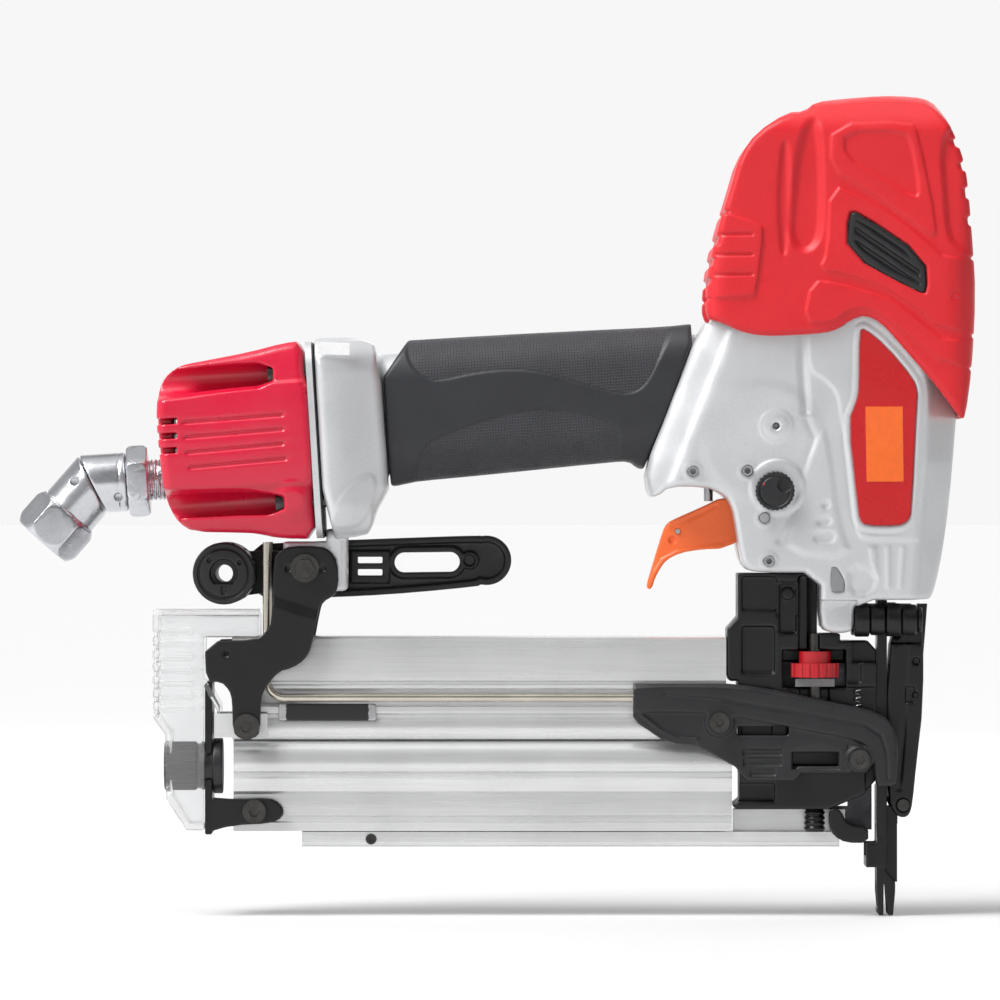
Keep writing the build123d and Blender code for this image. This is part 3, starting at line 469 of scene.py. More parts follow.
SILVER = finish("cast_silver", (0.64, 0.65, 0.665), 0.36, metal=0.50, tint=0.03, patch=35, grain=3200,
                grain_depth=1.2e-5)
RED = finish("cover_red", (0.66, 0.009, 0.017), 0.48, tint=0.05, patch=30, grain=2600, grain_depth=1.6e-5,
             sheen=0.05)
CRIMSON = finish("cap_red", (0.60, 0.004, 0.036), 0.34, coat=0.35, tint=0.05, patch=30, grain=2200,
                 grain_depth=1e-5)
RUBBER = finish("grip_rubber", (0.019, 0.020, 0.024), 0.50, tint=0.1, patch=40, grain=2400,
                grain_depth=2e-5)
RUBBER_GRID = grid_finish("grip_grid", (0.034, 0.035, 0.041), 0.56, 0.00095, 1.6e-4)
BLACK = finish("black_plastic", (0.012, 0.0125, 0.014), 0.40, tint=0.15, patch=50, grain=2600,
               grain_depth=1.6e-5)
# Black steel coloured darker than its own black: painted shade for the shadow that falls over the nose.
BLACK_STEEL_AND_SHADE = finish("black_steel", (0.004, 0.0042, 0.005), 0.36, metal=0.1, tint=0.15, patch=45,
                     grain=3000, grain_depth=8e-6)
BLACK_SCREW = finish("black_screw", (0.075, 0.073, 0.070), 0.30, metal=0.9, tint=0.2, patch=200, grain=3000,
                     grain_depth=8e-6)
STEEL = finish("steel", (0.50, 0.50, 0.51), 0.28, metal=1.0, tint=0.1, patch=120, grain=3000,
               grain_depth=6e-6, stretch=(1, 1, 0.08))
DARK_STEEL = finish("dark_steel", (0.060, 0.060, 0.066), 0.34, metal=0.9, tint=0.2, patch=150, grain=2600,
                    grain_depth=8e-6)
NICKEL = finish("nickel", (0.62, 0.58, 0.50), 0.22, metal=1.0, tint=0.08, patch=80, grain=2600,
                grain_depth=5e-6, stretch=(0.05, 1, 1))
CHROME = finish("chrome", (0.60, 0.61, 0.64), 0.24, metal=1.0, tint=0.04, patch=60, grain=1500,
                grain_depth=3e-6, rough_span=0.05)
EXTRUSION = finish("extrusion", (0.74, 0.745, 0.75), 0.28, metal=0.6, tint=0.04, patch=40, grain=2400,
                   grain_depth=6e-6, stretch=(0.02, 1, 1), rough_span=0.06)
BARE = finish("bare_aluminium", (0.58, 0.59, 0.60), 0.3, metal=1.0, tint=0.06, patch=90, grain=2400,
              grain_depth=6e-6, stretch=(1, 1, 0.05))
ORANGE = finish("trigger_orange", (1.0, 0.165, 0.036), 0.38, tint=0.05, patch=60, grain=2200,
                grain_depth=1.4e-5)
DIAL_RED = finish("dial_red", (0.50, 0.010, 0.018), 0.36, tint=0.1, patch=120, grain=2400,
                  grain_depth=1.2e-5)
BADGE_RED = finish("badge_red", (0.52, 0.003, 0.006), 0.30, coat=0.15, tint=0.04, patch=40, grain=900,
                   grain_depth=3e-6)
BADGE_ORANGE = finish("badge_orange", (0.86, 0.14, 0.015), 0.26, coat=0.25, tint=0.04, patch=40, grain=900,
                      grain_depth=3e-6)
GASKET = finish("gasket_grey", (0.25, 0.25, 0.26), 0.7, tint=0.12, patch=200, grain=1800, grain_depth=3e-5)
BUMPER = finish("bumper_rubber", (0.03, 0.03, 0.03), 0.6, tint=0.1, patch=60, grain=1800, grain_depth=2e-5)
FELT = finish("filter_felt", (0.35, 0.34, 0.30), 0.9, tint=0.2, patch=500, grain=1500, grain_depth=1e-4)
GREY = finish("grey_plastic", (0.24, 0.245, 0.25), 0.4, tint=0.08, patch=80, grain=2400, grain_depth=1.2e-5)
PAPER = finish("plain_sticker", (0.80, 0.80, 0.80), 0.5, tint=0.03, patch=60, grain=1200, grain_depth=5e-6)
CLEAR = clear_finish("clear")

SLOT_FINISH = {
    "cast_silver": SILVER, "cover_red": RED, "cap_red": CRIMSON, "grip_rubber": RUBBER,
    "black_plastic": BLACK, "black_steel": BLACK_STEEL_AND_SHADE, "black_screw": BLACK_SCREW, "steel": STEEL,
    "dark_steel": DARK_STEEL, "nickel": NICKEL, "chrome": CHROME, "extrusion": EXTRUSION,
    "bare_aluminium": BARE, "trigger_orange": ORANGE, "dial_red": DIAL_RED, "badge_red": BADGE_RED,
    "gasket_grey": GASKET, "bumper_rubber": BUMPER, "filter_felt": FELT, "clear": CLEAR,
    "grey_plastic": GREY,
}
for name, cad in nodes.items():
    cad.data.materials.clear()
    cad.data.materials.append(SLOT_FINISH[node_slot[name]])


# ---- stage ---------------------------------------------------------------------------------------
def area_light(name, place, size, power):
    """A square soft light aimed at the middle of the tool."""
    data = bpy.data.lights.new(name, "AREA")
    data.size = size
    data.energy = power
    lamp = show(name, data)
    lamp.location = place
    lamp.rotation_euler = (Vector((-0.12, 0, 0.13)) - Vector(place)).to_track_quat("-Z", "Y").to_euler()


def make_stage():
    """A pale floor at the foot's tip, a soft pale surround and large soft lights; the floor's colour
    carries painted light.
    """
    bpy.ops.mesh.primitive_plane_add(size=80, location=(0, 0, -0.0002))
    floor = bpy.context.object
    floor.name = "floor"
    white = finish("floor_white", (0.77, 0.77, 0.77), 0.8, tint=0.004, patch=2, grain=200, grain_depth=1e-6)
    tree = white.node_tree
    shader = tree.nodes["Principled BSDF"]
    place = tree.nodes.new("ShaderNodeTexCoord")
    length = tree.nodes.new("ShaderNodeVectorMath")
    length.operation = "LENGTH"
    link(tree, place.outputs["Object"], length.inputs[0])
    # Painted light: the floor is coloured darker near the tool and paler far off, making up for the lamps'
    # falloff so the far floor meets the pale surround.
    painted_falloff_light = span(tree, length.outputs["Value"], 0, 1, 0.4, 1.8)
    link(tree, blend_colors(tree, painted_falloff_light, (0.68, 0.68, 0.68), (0.86, 0.86, 0.86)),
         shader.inputs["Base Color"])
    floor.data.materials.append(white)
    world = bpy.data.worlds.new("studio")
    world.use_nodes = True
    bpy.context.scene.world = world
    tree = world.node_tree
    place = tree.nodes.new("ShaderNodeTexCoord")
    split = tree.nodes.new("ShaderNodeSeparateXYZ")
    link(tree, place.outputs["Generated"], split.inputs[0])
    ramp = tree.nodes.new("ShaderNodeValToRGB")
    heights = (0.0, 0.42, 0.58, 0.70, 0.85, 1.0)
    levels = (0.35, 0.36, 0.36, 0.24, 0.30, 0.95)
    while len(ramp.color_ramp.elements) < len(heights):
        ramp.color_ramp.elements.new(0.5)
    for element, height, level in zip(ramp.color_ramp.elements, heights, levels):
        element.position = height
        element.color = (level, level, level, 1)
    link(tree, span(tree, split.outputs["Z"], 0, 1, -1, 1), ramp.inputs["Fac"])
    left = blend_colors(tree, span(tree, split.outputs["X"], 0, 1, 0.2, -1), (0.22, 0.22, 0.22),
                        (0.75, 0.75, 0.75))
    sides = blend_colors(tree, span(tree, split.outputs["Z"], 0, 1, 0.35, 0.8), left, ramp.outputs["Color"])
    ahead = span(tree, split.outputs["Y"], 0, 1, 0.75, 0.97)
    tone = blend_colors(tree, ahead, sides, (0.93, 0.93, 0.93))
    link(tree, tone, tree.nodes["Background"].inputs["Color"])
    area_light("key", (-0.95, -0.65, 1.05), 0.5, 11.0)
    area_light("fill", (1.3, -1.1, 0.35), 0.6, 0.3)
    area_light("rim", (0.4, 1.3, 1.0), 0.9, 5.0)
    data = bpy.data.lights.new("sun", "SUN")
    data.energy = 2.2
    data.angle = math.radians(25)
    sun = show("sun", data)
    sun.rotation_euler = (math.radians(28), 0, math.radians(-60))


def make_camera():
    """A long lens level with the middle of the tool, looking along +Y."""
    distance = 2.6
    view_width = 0.3322
    data = bpy.data.cameras.new("camera")
    data.sensor_width = 36
    data.lens = data.sensor_width * distance / view_width
    camera = show("camera", data)
    camera.location = (-0.1274, -distance, 0.1376)
    camera.rotation_euler = (math.radians(90), 0, 0)
    bpy.context.scene.camera = camera
    bpy.context.scene.view_settings.view_transform = "Standard"


make_camera()
make_stage()


# ---- head cover ----------------------------------------------------------------------------------
FINE = 1.0
HEAD_OUTSIDE = [
    (24, 164.3), (25.6, 164.7), (28, 181.2), (29.7, 205.6), (28.4, 220.4), (26.6, 240.6),
    (25.3, 248.5), (22.6, 256.7), (18.2, 265), (14.5, 269.3), (9, 270.7), (-0.7, 271),
    (-14.2, 270), (-23.5, 268.8), (-27, 265.6), (-33, 265.2), (-43.1, 258.4), (-48.5, 251), (-52.1, 238.6),
    (-54.5, 231), (-57.6, 220.4), (-59.9, 207.6), (-60.2, 197.7), (-54.5, 195.7),
    (-47.9, 192.7), (-41, 191.4), (-30.4, 191.7), (-20.8, 192.4), (-16.2, 193.7),
    (-12.2, 196.7), (-7.4, 198.4), (-2, 195.7), (4, 188.9), (11.5, 180.2), (16.8, 173.9),
]
HEAD_INSIDE = [
    (-57, 150), (-57, 196), (-56.8, 207), (-54.6, 220), (-51.5, 231), (-49, 238.5), (-45.6, 249.5),
    (-40.6, 256), (-33, 262), (-23, 265.5), (-14, 267), (11, 267.5), (16, 262.5), (20, 255),
    (22.4, 248), (23.5, 240), (25.3, 220), (26.2, 205), (24.6, 181), (23.3, 164), (23.3, 150),
]
HEAD_RELIEF_GAIN = 1.75
VENT_OUTLINE = [(-12.9, 232), (-9.4, 232), (12.2, 217.5), (12.9, 205.6), (9.6, 206), (-13.2, 218.3)]


def grown(outline, distance):
    """An outline whose corners move away from its middle."""
    points = np.array(outline, float)
    away = points - points.mean(axis=0)
    return points + distance * away / np.linalg.norm(away, axis=1)[:, None]


def head_relief(x, z):
    """How far the cover's side stands out from its plain wall, in X and Z."""
    upper_panel = [(-18.4, 261.2), (7.5, 261.8), (9.8, 258), (16.2, 226.5), (14.3, 224), (3.4, 232.4),
                   (-7.4, 239.8), (-18.9, 246.2)]
    panel_dish = [(-14.3, 258.8), (5.2, 258.8), (7.8, 255), (10.6, 238.8), (8.8, 236.6), (-2, 243.2),
                  (-14.3, 250.2)]
    vent_panel = [(-18.9, 241.4), (-7.4, 236.5), (0.6, 231.8), (8.1, 226.4), (14.2, 221), (19, 216.9),
                  (40, 216.4), (40, 192.3), (17.6, 193.6), (9.5, 200.6), (-0.6, 207.4), (-14.1, 211.9),
                  (-22.6, 213.2), (-19.8, 219)]
    lower_band = [(-24.9, 209.6), (-16.8, 208.9), (-0.7, 204.3), (6.1, 200), (16.2, 191.4), (20, 190),
                  (40, 189.4), (40, 181.4), (19.5, 181.6), (6.1, 192.1), (-3.3, 199.3), (-7.3, 200.9),
                  (-12.9, 200.2), (-18.2, 195.9), (-27.7, 195.9)]
    tall_scoop = [(-23.5, 263.4), (-27.6, 259.7), (-29.8, 249.3), (-31.3, 234.5), (-32, 225),
                  (-29.2, 219.6), (-24.9, 220), (-22, 225), (-21.7, 238.5), (-22, 254)]
    thin_scoop = [(-34.9, 255), (-32.6, 255), (-32.2, 235), (-33.2, 219), (-35, 218), (-36.2, 235)]
    front_scoop = [(17.4, 254.5), (18.9, 235), (19.6, 226), (21.6, 221.7), (27.9, 217.6), (40, 217),
                   (40, 262), (22, 262)]
    rib_patch = [(-70, 234.5), (-53.5, 231.9), (-42, 228), (-40.9, 226), (-43.4, 205.5), (-45, 204.6),
                 (-59.2, 203.8), (-70, 203.8)]
    height = np.zeros(np.broadcast_shapes(x.shape, z.shape), np.float32)
    steps = ((upper_panel, 1, 0.55, 0.7), (panel_dish, 1, -0.6, 1.3), (vent_panel, 1, 0.65, 0.7),
             (lower_band, 1, 0.7, 0.7), (tall_scoop, 2, -1.0, 3.6), (thin_scoop, 2, -0.6, 2.4),
             (front_scoop, 1, -0.9, 2.6), (rib_patch, 1, 0.75, 0.7))
    for outline, smooth, depth, width in steps:
        height = height + rise(outline_field(x, z, outline, smooth), depth, width)
    for level in (224.6, 218.0, 211.4):
        height = height - rise(line_field(x, z, [(-70, level), (-44.6, level + 0.3)], 1.0), 0.7, 0.8)
    height = height - rise(line_field(x, z, [(32, 206.2), (22, 206), (21.2, 203.6), (32, 203.4)], 0.7),
                           0.45, 0.7)
    height = height - rise(outline_field(x, z, grown(VENT_OUTLINE, 0.7), 1), 0.5, 0.8)
    return HEAD_RELIEF_GAIN * height


def edge_ribs(x, z):
    """How far the outline is pulled in between the ribs at the cover's front and rear."""
    pull = np.zeros(np.broadcast_shapes(x.shape, z.shape), np.float32)
    for low, high in ((253.6, 256.2), (245.8, 248.7), (236.7, 240.4), (227.9, 230.9), (216.6, 217.7)):
        band = between(z, low, high)
        pull = pull + rise(all_of(band, 14 - x), 1.1, 0.9)
    for low, high in ((231.8, 232.8), (221.2, 224.3), (214.4, 217.2), (208.3, 210.6), (203.2, 204.1)):
        band = between(z, low, high)
        pull = pull + rise(all_of(band, x + 48), 1.1, 0.9)
    for low, high in ((191.0, 192.2), (180.4, 181.2)):
        band = between(z, low, high)
        pull = pull + rise(all_of(band, 14 - x), 0.8, 0.8)
    return pull


def rounded_plan(grid, x_low, x_high, half_y, front, rear):
    """An upright block, its four upright edges rounded, each end by its own radius."""
    y = np.abs(grid.y)
    block = np.maximum(np.maximum(x_low - grid.x, grid.x - x_high), y - half_y)
    for end, radius, sign in ((x_high, front, 1), (x_low, rear, -1)):
        ahead = sign * (grid.x - end) + radius
        aside = y - half_y + radius
        corner = np.sqrt(np.maximum(ahead, 0) ** 2 + np.maximum(aside, 0) ** 2) - radius
        block = np.where((ahead > 0) & (aside > 0), corner, block)
    return block


def make_head_cover():
    """The red cover: a hollow shell with raised panels, scoops and gripping ribs."""
    grid = Grid((-61.4, -32.4, 162.8), (30.9, 32.4, 272.4), 0.45 * FINE)
    side = outline_field(grid.x, grid.z, HEAD_OUTSIDE, 1) + edge_ribs(grid.x, grid.z)
    half = 30.35 + head_relief(grid.x, grid.z)
    over_top = np.maximum(grid.z - 259, 0)
    half = half - 0.035 * over_top * over_top
    plan = rounded_plan(grid, -60.4, 29.9, 31.5, 12, 8)
    shell = meet(side, np.abs(grid.y) - half, 2.2)
    top_edge = (np.abs(grid.y) + grid.z - (31.5 + 262.2)) / math.sqrt(2)
    shell = meet(shell, plan, 1.5)
    shell = meet(shell, top_edge, 4.0)
    inside = outline_field(grid.x, grid.z, HEAD_INSIDE)
    cavity = all_of(inside, np.abs(grid.y) - 28, grid.z - 262)
    cavity = all_of(cavity, rounded_plan(grid, -90, 26.4, 28, 11, 1))
    shell = carve(shell, cavity)
    window = outline_field(grid.x, grid.z, grown(VENT_OUTLINE, 0.1), 1)
    shell = carve(shell, all_of(window, 24 - np.abs(grid.y)))
    tilt = math.tan(math.radians(HANDLE_LEAN))
    handle = grid.z - HANDLE_START[1] - tilt * (grid.x - HANDLE_START[0])
    grip_cut = all_of(np.abs(grid.y) - 18.4, grid.x + 40, np.abs(handle) - 35)
    shell = cut(shell, grip_cut, 0.8)
    piece = sculpt("head_cover_shell", shell, grid, 0.3)
    return stand_in(piece, "head_cover", RED)


make_head_cover()


# ---- main casting --------------------------------------------------------------------------------
BODY_OUTLINE = [
    (-57, 196), (-56.8, 207), (-54.6, 220), (-51.5, 231), (-49, 238.5), (-47, 245.5), (22.8, 245.5),
    (23.5, 240), (25.3, 220), (26.2, 205), (24.6, 181), (23.3, 164), (20.9, 136.3), (18.8, 121),
    (16.2, 109), (14.8, 105.6), (13.4, 104.7), (-10.4, 104.7), (-10.6, 95.6), (-12.4, 93.7),
    (-19.2, 93.7), (-21.8, 96.5), (-21.8, 113.7), (-43.6, 113.7), (-46.6, 115.2), (-48.3, 118.8),
    (-50.3, 132.3), (-51.6, 136.6), (-53.8, 139.6), (-59.7, 142), (-71.8, 142), (-75.4, 138.8),
    (-78.5, 138.6), (-79.7, 147.8), (-71.8, 167.8), (-61, 196),
]
BADGE_OUTLINE = [
    (-9.05, 193.2), (-7.6, 194), (-0.6, 188.3), (8.5, 177.5), (9.9, 173), (9.5, 168.7), (7.8, 133.7),
    (6.6, 130.4), (3, 129.1), (-7.2, 129.3), (-9.05, 130.9), (-9.7, 136.4), (-12.75, 163.3),
    (-10, 170.1), (-9.2, 174.1),
]
SIDE_DIMPLES = [
    (1.3, [(-20.1, 136.1), (-20.1, 136.1)]), (1.5, [(-21.6, 130.6), (-19.9, 130.6)]),
    (1.9, [(-22.4, 125.6), (-19, 125.4)]),
]
PENTAGON = [(-18.4, 115.4), (-16.6, 115.4), (-14.2, 111), (-14.3, 107.4), (-18.4, 107.4)]


def disc(x, z, centre, radius):
    """Distance to a circle in X and Z."""
    return np.sqrt((x - centre[0]) ** 2 + (z - centre[1]) ** 2) - radius


def smoothstep(value, low, high):
    """0 below low, 1 above high, smooth between."""
    t = np.clip((value - low) / (high - low), 0, 1)
    return t * t * (3 - 2 * t)


def soft_min(a, b, reach):
    """The lower of two heights, blended where they cross."""
    gap = np.maximum(reach - np.abs(a - b), 0)
    return any_of(a, b) - gap * gap / (4 * reach)


def body_half_width(x, z):
    """Half width of the casting over its side, with everything cast into that side."""
    plateau = [(-26.9, 230), (-26.7, 180.8), (-20.8, 177.5), (-17.1, 173.8), (-15.8, 170.1), (-15.3, 164.7),
               (-12.4, 149.9), (-10.8, 130.5), (-9.6, 126), (-6.6, 124.3), (40, 124.3), (40, 230)]
    ridge = [(-21.5, 162.3), (-26.2, 148), (-30.3, 129.7), (-32.8, 120.4), (-12, 118.6), (-16.2, 129.7),
             (-19.3, 153.9)]
    ribs = [
        [(-6, 122.2), (-3.6, 122.2), (-3, 111.8), (-5.4, 116.9)],
        [(-0.6, 122.2), (1, 122.2), (1, 108.7), (-0.4, 108.7)],
        [(4.2, 122.2), (6, 122.2), (5, 108.7), (3.6, 108.7)],
    ]
    low_dish = [(-12.6, 116.5), (-3, 113.5), (-5, 106.5), (-12.6, 106.5)]
    badge = outline_field(x, z, BADGE_OUTLINE, 1)
    height = 27.2 + rise(outline_field(x, z, plateau, 2), 0.8, 1.1)
    height = height + rise(outline_field(x, z, ridge, 1), 0.9, 2.6)
    height = height + rise(disc(x, z, (-41, 156.6), 19.5), 0.45, 5.0)
    height = height - rise(line_field(x, z, [(-28, 205), (-27.9, 182), (-26.8, 167)], 2.2), 1.5, 3.0)
    height = height - rise(line_field(x, z, [(-26.5, 164), (-24, 158), (-27.8, 148), (-31, 136),
                                             (-35.5, 124.5)], 1.6), 0.8, 3.0)
    height = height + rise(np.abs(badge - 1.05) - 0.75, 0.6, 0.9)
    height = height - rise(badge - 0.15, 0.7, 0.7)
    height = height - rise(np.abs(badge - 2.6) - 0.2, 0.35, 1.2)
    height = height + rise(disc(x, z, VALVE_BOSS, 5.6), 0.6, 1.0)
    height = height + rise(disc(x, z, VALVE_BOSS, 3.8), 0.9, 2.0)
    height = height + rise(disc(x, z, (KNOB_CENTRE[0] + 0.9, KNOB_CENTRE[1] + 1.2), 9.0), 1.5, 1.4)
    for centre in PIN_CENTRES:
        height = height + rise(disc(x, z, centre, 3.1), 0.35, 0.9)
    for rib in ribs:
        height = height + rise(outline_field(x, z, rib), 0.55, 0.8)
    for radius, line in SIDE_DIMPLES:
        height = height - rise(line_field(x, z, line, 2 * radius), 0.9, 0.9)
    height = height - rise(outline_field(x, z, PENTAGON, 1), 1.0, 0.9)
    height = height - rise(outline_field(x, z, low_dish, 1), 0.9, 2.4)
    under_cover = rise(outline_field(x, z, HEAD_OUTSIDE, 1), 1.0, 1.0)
    height = np.where(under_cover > 0.5, np.minimum(height, 27.9), height)
    crease = 12.2 - 0.095 * np.maximum(150 - z, 0)
    facet = 27.9 - 1.15 * (x - crease)
    height = soft_min(height, facet, 2.0)
    rear = (x + 61) * 0.932 - (z - 196) * 0.363
    waist = 18.6 + 9.0 * smoothstep(rear, 0, 13)
    height = soft_min(height, waist, 3.0)
    return np.where(under_cover > 0.5, np.minimum(height, 27.9), height)


def along_lean(x, z, start):
    """How far a point lies along a leaning line that starts at a point in X and Z."""
    return (x - start[0]) * LEAN_COS + (z - start[1]) * LEAN_SIN


def across_lean(x, z, start):
    """How far a point lies above a leaning line that starts at a point in X and Z."""
    return -(x - start[0]) * LEAN_SIN + (z - start[1]) * LEAN_COS


def handle_bar(grid, half_y, height, corner, x_low, x_high):
    """A bar with rounded edges along the tilted handle axis."""
    u = along_lean(grid.x, grid.z, HANDLE_START)
    v = across_lean(grid.x, grid.z, HANDLE_START)
    qy = np.abs(grid.y) - half_y + corner
    qv = np.abs(v) - height / 2 + corner
    tube = np.sqrt(np.maximum(qy, 0) ** 2 + np.maximum(qv, 0) ** 2) + np.minimum(all_of(qy, qv), 0) - corner
    return all_of(tube, between(u, x_low - HANDLE_START[0], x_high - HANDLE_START[0]))


def make_body_casting():
    """The head and trigger end of the casting, down to the nose."""
    grid = Grid((-80.6, -29.6, 92.8), (27.2, 29.6, 246.4), 0.5 * FINE)
    x, y, z = grid.x, np.abs(grid.y), grid.z
    side = outline_field(x, z, BODY_OUTLINE, 1)
    half = body_half_width(x, z)
    body = meet(side, y - half, 1.8)
    lug = all_of(between(x, -22.4, -10), z - 104.4)
    body = np.where(lug < 0, meet(side, y - 18.4, 1.8), body)
    knob_seat = all_of(disc(x, z, KNOB_CENTRE, 7.1), 27.9 - y)
    body = carve(body, np.where(grid.y < 0, knob_seat, 9))
    for centre, radius in ((VALVE_BOSS, 1.15), *((pin, 1.7) for pin in PIN_CENTRES)):
        body = cut(body, all_of(disc(x, z, centre, radius), 22 - y), 0.3)
    slot = all_of(y - 6.4, between(x, -62, -34), between(z, 100, 143))
    body = cut(body, slot, 0.8)
    well = all_of(np.sqrt(x * x + grid.y * grid.y) - 18.5, 136 - z)
    chamber = ball_box(grid, (-46, -20, 152), (-14, 20, 236), 3)
    body = carve(body, any_of(well, chamber))
    body = carve(body, handle_bar(grid, 9, 27, 8, -90, -40))
    body = carve(body, all_of(np.abs(x) - 1.6, y - 3.4, z - 137))
    collar_bolt = all_of(disc(y, z, COLLAR_AXIS, 2.7), np.abs(x + 9) - 9)
    body = carve(body, collar_bolt)
    piece = sculpt("main_casting", body, grid, 0.3)
    return stand_in(piece, "main_housing", SILVER)


def slab_mesh(name, outline, y_low, y_high, bevel=0.2, smooth=0):
    """An outline in X and Z given thickness, with bevelled edges."""
    points = arc_outline(outline, smooth)
    build = bmesh.new()
    lower = [build.verts.new((p[0] * MM, y_low * MM, p[1] * MM)) for p in points]
    upper = [build.verts.new((p[0] * MM, y_high * MM, p[1] * MM)) for p in points]
    build.faces.new(lower)
    build.faces.new(upper[::-1])
    count = len(points)
    for i in range(count):
        build.faces.new((lower[i], upper[i], upper[(i + 1) % count], lower[(i + 1) % count]))
    bmesh.ops.recalc_face_normals(build, faces=build.faces)
    if bevel:
        rims = [e for e in build.edges if abs(e.verts[0].co.y - e.verts[1].co.y) < 1e-9]
        bmesh.ops.bevel(build, geom=rims, offset=bevel * MM, segments=2, affect="EDGES", clamp_overlap=True)
    mesh = bpy.data.meshes.new(name)
    build.to_mesh(mesh)
    build.free()
    return shade(show(name, mesh), 35)


def both_sides(piece):
    """The piece and its mirror image in one mesh."""
    build = bmesh.new()
    build.from_mesh(piece.data)
    twin = bmesh.ops.duplicate(build, geom=build.verts[:] + build.edges[:] + build.faces[:])["geom"]
    for vert in (g for g in twin if isinstance(g, bmesh.types.BMVert)):
        vert.co.y = -vert.co.y
    bmesh.ops.reverse_faces(build, faces=[g for g in twin if isinstance(g, bmesh.types.BMFace)])
    build.to_mesh(piece.data)
    build.free()
    return shade(piece, 35)


def make_badges():
    """Blank red side badges, each with a plain orange block, set into the casting's rims."""
    field = both_sides(slab_mesh("badge_fields", grown(BADGE_OUTLINE, -0.1), -27.75, -26.6, 0.25, 1))
    stand_in(field, "side_badges", BADGE_RED)
    block = [(-7.3, 168.3), (5.0, 168.3), (5.3, 143.6), (-6.9, 143.6)]
    patch = both_sides(slab_mesh("badge_blocks", block, -27.9, -27.3, 0.1))
    finish_piece(patch, "housing", [BADGE_ORANGE])
    panes = both_sides(slab_mesh("window_panes", PENTAGON, -27.0, -25.4, 0.2))
    finish_piece(panes, "housing", [GREY])


make_body_casting()
make_badges()


# ---- rear of the casting: handle core, flare and lug ---------------------------------------------
REAR_FLARE = [
    (-189, 190.2), (-187.5, 191.2), (-174.4, 191.3), (-167.6, 188.4), (-164, 142.3),
    (-165.8, 138.6), (-168.3, 134.3), (-170.1, 128.4), (-172.3, 125.5), (-185, 124.8),
]


def make_rear_casting():
    """The hollow handle core with the flare that carries the end cap, and the bracket lug under it."""
    grid = Grid((-200, -27.6, 106.6), (-58, 27.6, 196), 0.6 * FINE)
    x, y, z = grid.x, np.abs(grid.y), grid.z
    flare_side = outline_field(x, z, REAR_FLARE, 1)
    swell = smoothstep(x, -189, -165)
    half = 26.9 - 5.5 * swell * swell
    pad = [(-179, 141), (-169.6, 147), (-167.8, 142), (-171.4, 131.5), (-176, 128.4), (-184, 128.6)]
    half = half + rise(outline_field(x, z, pad, 2), 0.5, 1.6)
    seam = (x + 187.6) - (z - 125) * -0.062
    half = half - rise(np.abs(seam - 1.6) - 0.1, 0.35, 0.8)
    flare = meet(flare_side, y - half, 3.0)
    high = 191.3 - 12
    low = 124.8 + 12
    round_high = np.sqrt(np.maximum(y - half + 12, 0) ** 2 + np.maximum(z - high, 0) ** 2) - 12
    round_low = np.sqrt(np.maximum(y - half + 12, 0) ** 2 + np.maximum(low - z, 0) ** 2) - 12
    corners = all_of(np.where(z > high, round_high, -9), np.where(z < low, round_low, -9))
    flare = all_of(flare, corners)
    core = handle_bar(grid, 13.9, 38.8, 12, -186, -60)
    lug = ball_box(grid, (-199, -15, 107.5), (-178, 15, 128), 1.5)
    lug = carve(lug, ball_box(grid, (-204, -20, 123.8), (-184.8, 20, 132), 0.5))
    lug = carve(lug, disc(x, z, BRACKET_BOLT, 2.6))
    body = any_of(join(flare, core, 2.5), lug)
    body = carve(body, handle_bar(grid, 9, 27, 8, -200, -40))
    for centre in CAP_SCREWS:
        hole = np.sqrt(across_lean(x, z, centre) ** 2 + (y - SCREW_SIDE) ** 2) - 2.5
        body = carve(body, all_of(hole, x + 176))
    piece = sculpt("rear_casting", body, grid, 0.3)
    return finish_piece(piece, "housing", [SILVER])


make_rear_casting()


# ---- rubber grip ---------------------------------------------------------------------------------
GRIP_OUTLINE = [
    (-166.6, 190.2), (-131.2, 192.3), (-95.4, 194), (-73, 195.0), (-61.2, 196.3), (-71.9, 167.8),
    (-79.4, 148.6), (-80.2, 147.4), (-82.2, 148.4), (-84.6, 150.4), (-90, 150.2), (-131, 146),
    (-155, 143.7), (-159.4, 142.6), (-162.4, 141.4), (-163.9, 142.3),
]
UPPER_PATCH = [
    (-158.6, 205), (-158.4, 188), (-157.6, 184), (-155.6, 180.4), (-151.8, 177.6), (-147.5, 176.9),
    (-136.2, 179.5), (-124, 180.9), (-112.6, 179.7), (-97, 174.8), (-88.5, 172.6), (-83.4, 172.9),
    (-79.6, 175.4), (-76.4, 180.7), (-71.6, 192.5), (-67, 205),
]
LOWER_PATCH = [
    (-155.6, 138), (-155, 149.2), (-153, 154.6), (-149.4, 158), (-136.2, 163.1), (-124, 166.7),
    (-112.6, 167.9), (-102, 167.1), (-92.4, 164.1), (-88, 161), (-87.5, 157), (-89.3, 150.4),
    (-89.3, 138),
]


def paint_faces(piece, index, choose):
    """Give another material to the faces that a rule in millimetres picks."""
    count = len(piece.data.polygons)
    centres = np.zeros(count * 3, np.float32)
    piece.data.polygons.foreach_get("center", centres)
    centres = centres.reshape(-1, 3) / MM
    chosen = choose(centres[:, 0], centres[:, 1], centres[:, 2])
    piece.data.polygons.foreach_set("material_index", np.where(chosen, index, 0).astype(np.int32))


def in_patches(x, z):
    """Distance to the nearer of the two textured patches."""
    return any_of(outline_field(x, z, UPPER_PATCH, 2), outline_field(x, z, LOWER_PATCH, 2))


